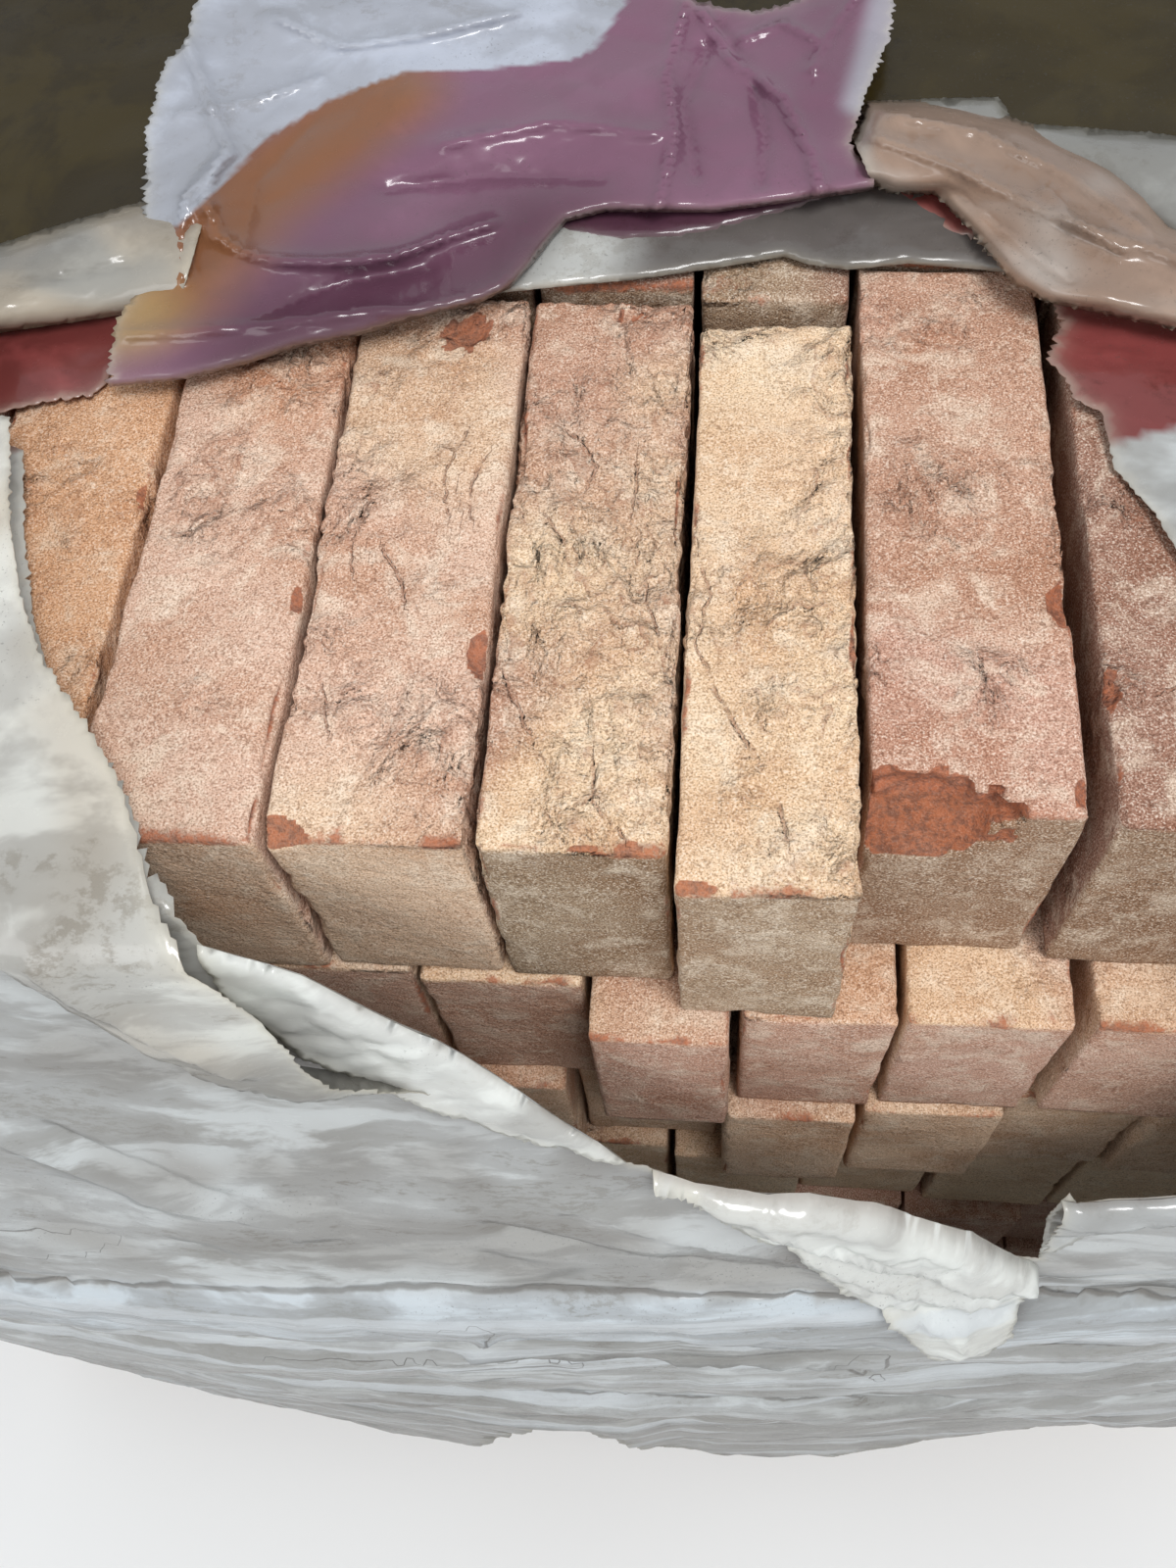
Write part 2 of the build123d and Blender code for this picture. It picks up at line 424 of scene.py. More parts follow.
def stepsBetween(low, high, fine, coarse, fineLow, fineHigh):
    # lattice lines from low to high, close together between fineLow and fineHigh
    lines = [low]
    while lines[-1] < high - 0.6 * fine:
        step = fine if fineLow <= lines[-1] < fineHigh else coarse
        if lines[-1] < fineLow < lines[-1] + step:
            step = fineLow - lines[-1]
        lines.append(min(lines[-1] + max(step, fine), high))
    if high - lines[-1] > 1e-6:
        lines.append(high)
    return np.array(lines)


def flakeLevel(points, angle):
    # a slow height field: each whole number in it is the lip of a flake of clay
    turn = np.array(Matrix.Rotation(math.radians(angle), 3, "Z"))
    laid = points @ turn.T * (1.0, 0.6, 1.0)
    size = brickLook["flakeSize"]
    level = softNoise(laid, size, 11) + 0.5 * softNoise(laid, size * 0.4, 12)
    return (level + 0.2 * softNoise(laid, size * 0.2, 13)) * brickLook["flakeLevels"]


def shapeBrick(points, low, high, look, seed):
    # rounds, warps, flakes, cracks and chips a brick, and gives its points with their finish values
    size = high - low
    local = points - low
    seeded = points + seed * 0.37
    radius = (brickLook["arrisRadius"] * (1 + 0.55 * softNoise(seeded, 14 * mm, 3)))[:, None]
    inner = np.clip(local, radius, size - radius)
    out = local - inner
    length = np.linalg.norm(out, axis=1, keepdims=True)
    normal = out / np.maximum(length, 1e-9)
    rounded = inner + normal * radius
    # distance to the nearest arris, along the face
    toFace = np.sort(np.minimum(local, size - local), axis=1)
    nearArris = np.exp(-(toFace[:, 1] / (2.6 * mm)) ** 2)
    # broad unevenness, then the pits and swellings that the mould leaves
    lift = waves(seeded, *brickLook["unevenness"]) - 0.5 * mm
    onTop = ease(-6 * mm, -2 * mm, local[:, 2] - size[2])
    onFront = ease(3 * mm, 0.5 * mm, local[:, 1]) * ease(size[2] - 1 * mm, size[2] - 4 * mm, local[:, 2])
    level = flakeLevel(seeded, look["angle"])
    part = level - np.floor(level)
    flaky = ease(0.95 - 1.15 * look["folds"], 1.3 - 0.85 * look["folds"],
                 0.5 + layered(seeded, *brickLook["patches"]))
    flaky = flaky * (1 - onFront)
    lip = np.where(part < 0.75, part / 0.75, (1 - part) / 0.25)
    lift += flaky * (lip - 0.5) * brickLook["flakeHeight"]
    crack = nearestLine(local[:, :2], look.get("cracks", ()), 20 * mm)
    lift += onTop * (0.9 * mm * np.exp(-np.abs(crack) / (5 * mm)) * (crack > 0)
                     - 0.8 * mm * np.exp(-(crack / (1.6 * mm)) ** 2))
    # notches and crumbled lengths of the arrises
    crumble = np.clip(layered(seeded, *brickLook["crumbling"]) - 0.2, 0, 1)
    lift -= nearArris * crumble * brickLook["crumbleDepth"]
    wear = nearArris * np.clip(0.25 + 0.9 * crumble + 0.6 * softNoise(seeded, 22 * mm, 23), 0, 0.8)
    frontArris = onTop * np.exp(-(local[:, 1] / (6 * mm)) ** 2)
    wear = np.maximum(wear, frontArris * (0.56 + 0.5 * softNoise(seeded, 16 * mm, 24)))
    outwards = np.sign(local / size * 2 - 1) * (np.minimum(local, size - local) < 6 * mm)
    blend = normal + nearArris[:, None] * outwards
    blend /= np.maximum(np.linalg.norm(blend, axis=1, keepdims=True), 1e-9)
    shaped = rounded + blend * lift[:, None]
    ragged = layered(seeded, *brickLook["chipEdge"])
    for across, along, upward, reach, depth in look.get("chips", ()):
        # a shallow bowl broken out of the arris
        spot = np.array((across, along, upward)) * size
        forwards = 0.0 if along > 0.05 else 0.55 if upward > 0.95 else 1.4
        away = np.array(((across * 2 - 1) ** 3 * 0.7, -forwards, 1.0))
        away /= np.linalg.norm(away)
        offset = shaped - spot
        height = offset @ away
        beside = np.linalg.norm(offset - height[:, None] * away, axis=1)
        bowl = depth * mm * (1 - (beside / (reach * mm * (1 + ragged))) ** 2)
        gone = np.where(bowl > 0, height + bowl, 0)
        gone = np.clip(gone + ragged * 0.8 * mm * (gone > 0), 0, 1)
        shaped = shaped - away * gone[:, None]
        wear = np.maximum(wear, 1.6 * ease(0.2 * mm, 0.9 * mm, gone))
    tone = ease(-0.35, 0.45, layered(seeded, *brickLook["toneClouds"]) - (local[:, 1] / size[1] - 0.5) * 0.9)
    first, second = (np.array(clayTones[t]) for t in look["tones"])
    colour = first * (1 - tone[:, None]) + second * tone[:, None]
    share = 0.85 * onFront[:, None]
    colour = colour * (1 - share) + np.array(clayTones[look.get("front", "dull")]) * share
    crack = crack * onTop + (1 - onTop)
    return low + shaped, {"clay": colour, "wear": wear, "level": level, "flaky": flaky, "crack": crack}


def makeBricks(name, jobs, layer):
    # one piece from several bricks of a layer, each (low, high, look, fine length from the front, seed)
    allPoints, allFaces, allValues, start = [], [], [], 0
    fine = brickLook["step"] if len(jobs) == 1 else brickLook["lowerStep"]
    coarse, deep = brickLook["coarseStep"], brickLook["deepStep"]
    for low, high, look, fineLength, seed in jobs:
        xs = stepsBetween(low[0], high[0], fine, coarse, low[0], high[0])
        ys = stepsBetween(low[1], high[1], fine, coarse, low[1], low[1] + fineLength)
        zs = stepsBetween(low[2], high[2], fine, deep, high[2] - brickLook["faceDepth"], high[2])
        points, faces = latticeShell(xs, ys, zs)
        shaped, values = shapeBrick(points, low, high, look, seed)
        allPoints.append(shaped)
        allFaces.append(faces + start)
        allValues.append(values)
        start += len(points)
    values = {key: np.concatenate([v[key] for v in allValues]) for key in allValues[0]}
    piece = meshPiece(name, np.concatenate(allPoints), np.concatenate(allFaces), values)
    piece.data.materials.append(brickFinish)
    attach(piece, "root")
    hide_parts(f"brick_layer_{layer}")


clayLook = {
    # noises as (scale, detail, roughness, distortion), relief as (height, strength)
    "noise": {"broad": (22.0, 3.0, 0.5), "cloudy": (75.0, 5.0, 0.6, 0.6), "sand": (1500.0, 2.0, 0.6),
              "grit": (420.0, 3.0, 0.7), "finer": (90.0, 3.0, 0.6), "patchy": (130.0, 2.0, 0.5)},
    "relief": {"cloudy": (1.0 * mm, 0.5), "flake": (3.2 * mm, 0.8), "smallFlake": (1.7 * mm, 0.8),
               "crack": (1.2 * mm, 0.8), "grit": (1.2 * mm, 0.8), "sand": (0.4 * mm, 0.8)},
    "darker": (0.82, 0.71, 0.63),
    "deepGrain": (0.50, 0.44, 0.40),
    "sand": linear(238, 222, 200),
    "paleGrain": linear(252, 240, 224),
    "brokenClay": linear(124, 76, 58),
    "shade": linear(150, 98, 74),
    "roughness": (0.82, 1.0),
    "specular": 0.25,
}


def brickMaterial(name, plainClay=None):
    material, tree, shader = newMaterial(name)
    place = objectPlace(tree)
    noise, relief = clayLook["noise"], clayLook["relief"]
    broad = noiseOn(tree, place, *noise["broad"])
    cloudy = noiseOn(tree, place, *noise["cloudy"])
    sand = noiseOn(tree, place, *noise["sand"])
    grit = noiseOn(tree, place, *noise["grit"])
    clay = plainClay if plainClay else attribute(tree, "clay", True)
    darker = multiplied(tree, clay, clayLook["darker"])
    sandy = mixColour(tree, 0.45, clay, clayLook["sand"])
    colour = over(tree, darker, clay, ramp(tree, broad, 0.30, 0.62))
    colour = over(tree, colour, sandy, ramp(tree, cloudy, 0.46, 0.70), 0.9)
    deepGrain = multiplied(tree, colour, clayLook["deepGrain"])
    paleGrain = mixColour(tree, 0.5, colour, clayLook["paleGrain"])
    colour = over(tree, colour, paleGrain, ramp(tree, sand, 0.52, 0.68))
    colour = over(tree, colour, deepGrain, ramp(tree, sand, 0.49, 0.36), 0.9)
    colour = over(tree, colour, deepGrain, ramp(tree, grit, 0.45, 0.30), 0.6)
    normal = bumpFrom(tree, cloudy, *relief["cloudy"])
    if not plainClay:
        worn = shifted(tree, shifted(tree, attribute(tree, "wear"), cloudy, 1.5), grit, 0.6)
        fracture = over(tree, clayLook["brokenClay"], clayTones["bare"], ramp(tree, grit, 0.35, 0.62))
        colour = over(tree, colour, fracture, ramp(tree, worn, 0.40, 0.80), 0.85)
        # flakes: the slow height field is cut into steps here, so that the lips stay crisp
        flaky = attribute(tree, "flaky")
        level = calculate(tree, "ADD", attribute(tree, "level"), times(tree, cloudy, 0.5))
        part = calculate(tree, "FRACT", level)
        finer = noiseOn(tree, place, *noise["finer"])
        small = calculate(tree, "FRACT", times(tree, finer, 5.0))
        smallLip = times(tree, small, calculate(tree, "MULTIPLY_ADD", flaky, 0.8, 0.14))
        broken = ramp(tree, noiseOn(tree, place, *noise["patchy"]), 0.42, 0.56)
        # shade gathers behind each lip, and in the cracks
        shade = times(tree, times(tree, calculate(tree, "POWER", part, 5.0), flaky), broken)
        shade = times(tree, shade, 0.6)
        fineShade = times(tree, calculate(tree, "POWER", small, 4.0), flaky)
        shade = calculate(tree, "MAXIMUM", shade, times(tree, fineShade, 0.3))
        toCrack = calculate(tree, "ABSOLUTE", shifted(tree, attribute(tree, "crack"), finer, 6 * mm))
        inCrack = times(tree, ramp(tree, toCrack, 0.8 * mm, 0.1 * mm), ramp(tree, cloudy, 0.40, 0.52))
        shade = calculate(tree, "MAXIMUM", shade, times(tree, inCrack, 0.5))
        colour = over(tree, colour, clayLook["shade"], shade)
        normal = bumpFrom(tree, times(tree, part, flaky), *relief["flake"], normal)
        normal = bumpFrom(tree, smallLip, *relief["smallFlake"], normal)
        normal = bumpFrom(tree, calculate(tree, "SUBTRACT", 1.0, inCrack), *relief["crack"], normal)
    normal = bumpFrom(tree, grit, *relief["grit"], normal)
    normal = bumpFrom(tree, sand, *relief["sand"], normal)
    feed(tree, shader, {"Base Color": colour, "Roughness": between(tree, grit, *clayLook["roughness"]),
                        "Specular IOR Level": clayLook["specular"], "Normal": normal})
    return material


brickFinish = brickMaterial("sand_creased_clay")
brickFinishPlain = brickMaterial("sand_creased_clay_hidden", clayTones["rose"])

boxesOf = {layer: brickBoxes(layer) for layer in (8, 7, 6, 5)}
detailed = set()


def brickJob(layer, row, column, look, fineLength, seed):
    detailed.add((layer, row, column))
    low, high = boxesOf[layer][row, column]
    return low, high, look, fineLength or high[1] - low[1], seed


for column, look in openBricks.items():
    makeBricks(f"brick_top_{column}", [brickJob(8, 1, column, look, None, column)], 8)
for layer, row in frontRows.items():
    jobs = []
    for column in row["columns"]:
        look = dict(shadedLook, front=row["front"], tones=frontTones[(column + layer) % 3])
        look["angle"] = (column * 47 + layer * 31) % 120 - 60
        jobs.append(brickJob(layer, 1, column, look, row["fineLength"], layer * 20 + column))
    makeBricks(f"bricks_front_{layer}", jobs, layer)
jobs = [brickJob(8, 2, column, shadedLook, secondRow["fineLength"], 200 + column)
        for column in secondRow["columns"]]
makeBricks("bricks_second_row", jobs, 8)
print("open bricks shaped")


# Pieces that repeat: a node tree sets one mesh on each point of another, and its result becomes a plain mesh
def startTree(name, inputs):
    tree = bpy.data.node_groups.new(name, "GeometryNodeTree")
    sockets = {}
    for label, kind in (("Geometry", "Geometry"), *inputs, ("Finish", "Material")):
        kind = "NodeSocket" + kind
        sockets[label] = tree.interface.new_socket(name=label, in_out="INPUT", socket_type=kind)
    tree.interface.new_socket(name="Geometry", in_out="OUTPUT", socket_type="NodeSocketGeometry")
    return tree, sockets, tree.nodes.new("NodeGroupInput").outputs


def onPoints(tree, start, mesh, size=None):
    inputs = {"Points": start["Geometry"], "Instance": mesh}
    if size is not None:
        inputs["Scale"] = size
    spots = addNode(tree, "GeometryNodeInstanceOnPoints", inputs).outputs["Instances"]
    return addNode(tree, "GeometryNodeRealizeInstances", {"Geometry": spots}).outputs["Geometry"]


def endTree(tree, start, geometry):
    painted = addNode(tree, "GeometryNodeSetMaterial", {"Geometry": geometry, "Material": start["Finish"]})
    addNode(tree, "NodeGroupOutput", {"Geometry": painted.outputs["Geometry"]})


def pieceFromTree(name, places, tree, sockets, values, slotName):
    holder = bpy.data.objects.new(name, places)
    bpy.context.scene.collection.objects.link(holder)
    modifier = holder.modifiers.new(name, "NODES")
    modifier.node_group = tree
    for label, value in values.items():
        modifier[sockets[label].identifier] = value
    bpy.context.view_layer.update()
    result = bpy.data.meshes.new_from_object(holder.evaluated_get(bpy.context.evaluated_depsgraph_get()))
    bpy.data.objects.remove(holder)
    piece = bpy.data.objects.new(name, result)
    bpy.context.scene.collection.objects.link(piece)
    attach(piece, "root")
    return piece


# The bricks that stay under the film, instanced on their places
stackLook = {"unevenness": 0.8 * mm, "unevenScale": 30.0, "seed": 11, "joint": 1.2 * mm}


def stackTree():
    tree, sockets, start = startTree("brickStack", (("Unevenness", "Float"), ("Seed", "Int")))
    cube = addNode(tree, "GeometryNodeMeshCube",
                   {"Size": (1, 1, 1), "Vertices X": 3, "Vertices Y": 6, "Vertices Z": 4})
    size = addNode(tree, "GeometryNodeInputNamedAttribute", {"Name": "brickSize"}, data_type="FLOAT_VECTOR")
    bricks = onPoints(tree, start, cube.outputs["Mesh"], size.outputs["Attribute"])
    where = addNode(tree, "GeometryNodeInputPosition").outputs["Position"]
    inputs = {"Vector": where, "W": start["Seed"], "Scale": stackLook["unevenScale"], "Detail": 2.0}
    rough = addNode(tree, "ShaderNodeTexNoise", inputs, noise_dimensions="4D").outputs["Color"]
    centred = addNode(tree, "ShaderNodeVectorMath", {0: rough, 1: (0.5, 0.5, 0.5)},
                      operation="SUBTRACT").outputs["Vector"]
    offset = addNode(tree, "ShaderNodeVectorMath", {0: centred, "Scale": start["Unevenness"]},
                     operation="SCALE").outputs["Vector"]
    moved = addNode(tree, "GeometryNodeSetPosition", {"Geometry": bricks, "Offset": offset})
    endTree(tree, start, moved.outputs["Geometry"])
    return tree, sockets


def hiddenStack():
    centres, sizes = [], []
    for layer, boxes in boxesOf.items():
        for (row, column), (low, high) in boxes.items():
            if (layer, row, column) not in detailed:
                centres.append(tuple((low + high) / 2))
                sizes.append(high - low - stackLook["joint"])
    places = bpy.data.meshes.new("stackPlaces")
    places.from_pydata(centres, [], [])
    sizeOf = places.attributes.new("brickSize", "FLOAT_VECTOR", "POINT")
    sizeOf.data.foreach_set("vector", np.array(sizes, np.float32).ravel())
    values = {"Unevenness": stackLook["unevenness"], "Seed": stackLook["seed"], "Finish": brickFinishPlain}
    piece = pieceFromTree("bricks_under_film", places, *stackTree(), values, "brick")
    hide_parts(*[f"brick_layer_{layer}" for layer in boxesOf])


def refinish(node, material):
    node.data.materials.clear()
    node.data.materials.append(material)


hiddenStack()
for layer in (1, 2, 3, 4):
    refinish(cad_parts[f"brick_layer_{layer}"], brickFinishPlain)
print("hidden bricks placed")


# Pallet timber
timberTone = linear(168, 138, 100)


def timberMaterial(name, grainAlong):
    material, tree, shader = newMaterial(name)
    place = objectPlace(tree)
    grain = stretched(tree, place, (9.0, 1.0, 9.0) if grainAlong == "y" else (1.0, 9.0, 9.0))
    rings = noiseOn(tree, grain, 14.0, 5.0, 0.6, 1.2)
    fibres = noiseOn(tree, grain, 120.0, 3.0, 0.7)
    stain = noiseOn(tree, place, 9.0, 4.0, 0.6)
    light = tuple(c * 1.25 for c in timberTone)
    dark = tuple(c * 0.5 for c in timberTone)
    colour = over(tree, dark, timberTone, ramp(tree, rings, 0.35, 0.65))
    colour = over(tree, colour, light, ramp(tree, fibres, 0.45, 0.75))
    colour = over(tree, colour, linear(96, 88, 78), ramp(tree, stain, 0.5, 0.75), 0.5)
    normal = bumpFrom(tree, fibres, 0.6 * mm, 0.7, bumpFrom(tree, rings, 1.2 * mm, 0.5))
    feed(tree, shader, {"Base Color": colour, "Roughness": 0.85, "Specular IOR Level": 0.3, "Normal": normal})
    return material


for grain, prefixes in (("y", ("deck_board", "base_board")), ("x", ("bearer",))):
    finish = timberMaterial("sawn_softwood_" + grain, grain)
    for nodeName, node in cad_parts.items():
        if nodeName.rsplit("_", 1)[0] in prefixes:
            refinish(node, finish)


# Nails: two through each board into each bearer
nailLook = {
    "headRadius": 4.5 * mm,
    "headHeight": 1.2 * mm,
    "inset": 22 * mm,
    "sides": 14,
    "boards": (("deck_board", range(1, 8), 0.1), ("base_board", range(1, 4), 0.6)),
}


def steelMaterial():
    material, tree, shader = newMaterial("nail_steel")
    rust = noiseOn(tree, objectPlace(tree), 600.0, 4.0, 0.7)
    colour = over(tree, linear(120, 116, 110), linear(122, 78, 50), ramp(tree, rust, 0.4, 0.6))
    feed(tree, shader, {"Base Color": colour, "Metallic": 0.6, "Roughness": 0.55,
                        "Normal": bumpFrom(tree, rust, 0.2 * mm)})
    return material


def nailTree():
    tree, sockets, start = startTree("nailHeads", (("Head Radius", "Float"), ("Head Height", "Float")))
    inputs = {"Vertices": nailLook["sides"], "Radius": start["Head Radius"], "Depth": start["Head Height"]}
    head = addNode(tree, "GeometryNodeMeshCylinder", inputs, fill_type="NGON")
    endTree(tree, start, onPoints(tree, start, head.outputs["Mesh"]))
    return tree, sockets


def nailHeads():
    inset = nailLook["inset"]
    spots = []
    for bearer in (1, 2, 3):
        low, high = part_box(f"bearer_{bearer}")
        for kind, numbers, raised in nailLook["boards"]:
            for number in numbers:
                boardLow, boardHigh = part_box(f"{kind}_{number}")
                face = boardHigh.z if kind == "deck_board" else boardLow.z
                for x in (boardLow.x + inset, boardHigh.x - inset):
                    for y in (low.y + inset, high.y - inset):
                        spots.append((x, y, face + nailLook["headHeight"] * raised))
    places = bpy.data.meshes.new("nailPlaces")
    places.from_pydata(spots, [], [])
    values = {"Head Radius": nailLook["headRadius"], "Head Height": nailLook["headHeight"],
              "Finish": steelMaterial()}
    pieceFromTree("nails", places, *nailTree(), values, "timber")


nailHeads()
print("pallet finished")


# Film sheets: each is cut flat with torn edges, meshed, and then laid over the pack by a function
filmLook = {
    "thickness": 0.4 * mm,
    "toothStep": 1.6 * mm,
    "tornTint": 2.0 * mm,
}


def edge(points, tooth=0, grown=1.0):
    # outline corners in metres from points in millimetres; a third value of a point is its own tooth
    corners = [(x, y, *(own or (tooth,))) for x, y, *own in points]
    return [tuple(value * grown * mm for value in corner) for corner in corners]


def toothedOutline(corners, spacing, seed):
    # corners are (x, y, tooth): an edge with a tooth is ragged by that much, and closer set
    points, torn = [], []
    rough = np.random.default_rng(seed)
    scallop, wander = 0.0, 0.8
    for index, (x, y, tooth) in enumerate(corners):
        nextX, nextY = corners[(index + 1) % len(corners)][:2]
        length = math.hypot(nextX - x, nextY - y)
        pieces = max(1, round(length / (filmLook["toothStep"] if tooth else spacing)))
        acrossX, acrossY = -(nextY - y) / length, (nextX - x) / length
        for part in range(pieces):
            share = part / pieces
            off = 0.0
            if tooth:
                # small scallops of uneven length and depth
                scallop += rough.uniform(0.15, 0.8)
                wander = min(max(wander + rough.uniform(-0.22, 0.22), 0.25), 1.25)
                depth = abs(math.sin(scallop * math.pi)) - 0.6 + 0.4 * rough.uniform(-1, 1)
                off = tooth * wander * depth
            points.append((x + (nextX - x) * share + acrossX * off, y + (nextY - y) * share + acrossY * off))
            torn.append(bool(tooth))
    return np.array(points), np.array(torn)


def insideOutline(points, outline):
    inside = np.zeros(len(points), bool)
    x, y = points[:, 0], points[:, 1]
    for (ax, ay), (bx, by) in zip(outline, np.roll(outline, -1, axis=0)):
        crosses = (ay > y) != (by > y)
        where = ax + (y - ay) * (bx - ax) / (by - ay + 1e-18)
        inside ^= crosses & (x < where)
    return inside


def hexGrid(low, high, spacing, seed):
    xs = np.arange(low[0], high[0] + spacing, spacing)
    ys = np.arange(low[1], high[1] + spacing, spacing * 0.866)
    x, y = np.meshgrid(xs, ys)
    x = x + (np.arange(len(ys)) % 2)[:, None] * spacing / 2
    points = np.stack((x.ravel(), y.ravel()), 1)
    return points + np.random.default_rng(seed).uniform(-0.12, 0.12, points.shape) * spacing


def filmSheet(name, corners, lay, zones, seed, material=None):
    # zones are (spacing, low corner, high corner) boxes of the flat sheet, the first that holds a point wins
    # lay(flat) gives the points in space and their finish values
    outline, torn = toothedOutline(corners, zones[-1][0], seed)
    following = np.roll(outline, -1, axis=0)
    low, high = outline.min(0), outline.max(0)
    chosen = []
    for index, (spacing, *_) in enumerate(zones):
        grid = hexGrid(low, high, spacing, seed + index)
        zoneOf = np.full(len(grid), len(zones) - 1)
        for number in reversed(range(len(zones) - 1)):
            boxLow, boxHigh = inMetres(zones[number][1]), inMetres(zones[number][2])
            zoneOf[((grid > boxLow) & (grid < boxHigh)).all(1)] = number
        grid = grid[zoneOf == index]
        grid = grid[insideOutline(grid, outline)]
        chosen.append(grid[distanceTo(grid, outline, following) > 0.42 * spacing])
    every = np.concatenate([outline] + chosen)
    ring = list(range(len(outline)))
    flat, _, triangles, *_ = delaunay_2d_cdt([Vector(p) for p in every], [], [ring], 1, 1e-7, False)
    flat = np.array([tuple(p) for p in flat])
    triangles = np.array([tuple(t) for t in triangles])
    triangles = triangles[insideOutline(flat[triangles].mean(1), outline)]
    toTorn = distanceTo(flat, outline[torn], following[torn]) if torn.any() else np.full(len(flat), 1.0)
    points, values = lay(flat)
    values["torn"] = np.exp(-toTorn / filmLook["tornTint"])
    values.setdefault("crease", np.ones(len(flat)))
    values.setdefault("lessDirtAndSheen", np.zeros(len(flat)))
    piece = meshPiece(name, points, triangles, values)
    piece.data.materials.append(material or filmFinish)
    wall = piece.modifiers.new("wall", "SOLIDIFY")
    wall.thickness = filmLook["thickness"]
    wall.offset = 0
    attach(piece, "root")
    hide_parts("film_hood")


filmTones = {
    "white": linear(198, 200, 199),
    "milk": linear(216, 217, 213),
    "pale": linear(236, 237, 233),
    "blueWhite": linear(198, 202, 212),
    "skyLitWhite": linear(204, 211, 216),
    "grey": linear(162, 161, 156),
    "greyBrown": linear(150, 144, 136),
    "shade": linear(118, 112, 108),
    "warm": linear(190, 180, 164),
    "yellow": linear(196, 170, 108),
    "purple": linear(150, 106, 130),
    "plum": linear(100, 62, 80),
    "red": linear(146, 72, 70),
    "orange": linear(158, 106, 68),
    "cream": linear(172, 146, 128),
    "olive": linear(60, 49, 16),
}


polytheneLook = {
    # noises as (scale, detail, roughness, distortion), relief as (height, strength)
    "noise": {"cloudy": (13.0, 5.0, 0.58, 0.4), "streaky": (30.0, 5.0, 0.62, 0.4),
              "rub": (260.0, 4.0, 0.75), "specks": (700.0, 3.0, 0.7), "pulled": (17.0, 4.0, 0.55, 0.2),
              "crinkle": (110.0, 2.0, 0.5, 0.3)},
    "relief": {"rub": (0.10 * mm, 0.4), "crinkle": (0.30 * mm, 0.4), "ridges": (1.4 * mm, 0.28),
               "pulled": (9.0 * mm, 0.6), "crease": (1.2 * mm, 0.7)},
    "stretch": (0.5, 0.5, 1.5),
    "pulledStretch": (0.12, 0.12, 3.0),
    "waist": (0.71, 0.67),
    # tints: a darker tint for dirt and for painted shade, painted sheen with pale dust, dirt specks, painted
    # highlights on the streaks, painted shade in the creases, and the pale torn edge
    "dirtAndShade": (0.72, 0.69, 0.65),
    "sheenAndPaleDust": (1.30, 1.32, 1.33),
    "speck": linear(84, 80, 76),
    "streakHighlight": linear(232, 237, 240),
    "crease": linear(112, 104, 94),
    "tornEdge": linear(236, 230, 210),
    "roughness": (0.14, 0.36),
    "specular": 0.55,
    "coatRoughness": 0.09,
    "letsThrough": 0.4,
}


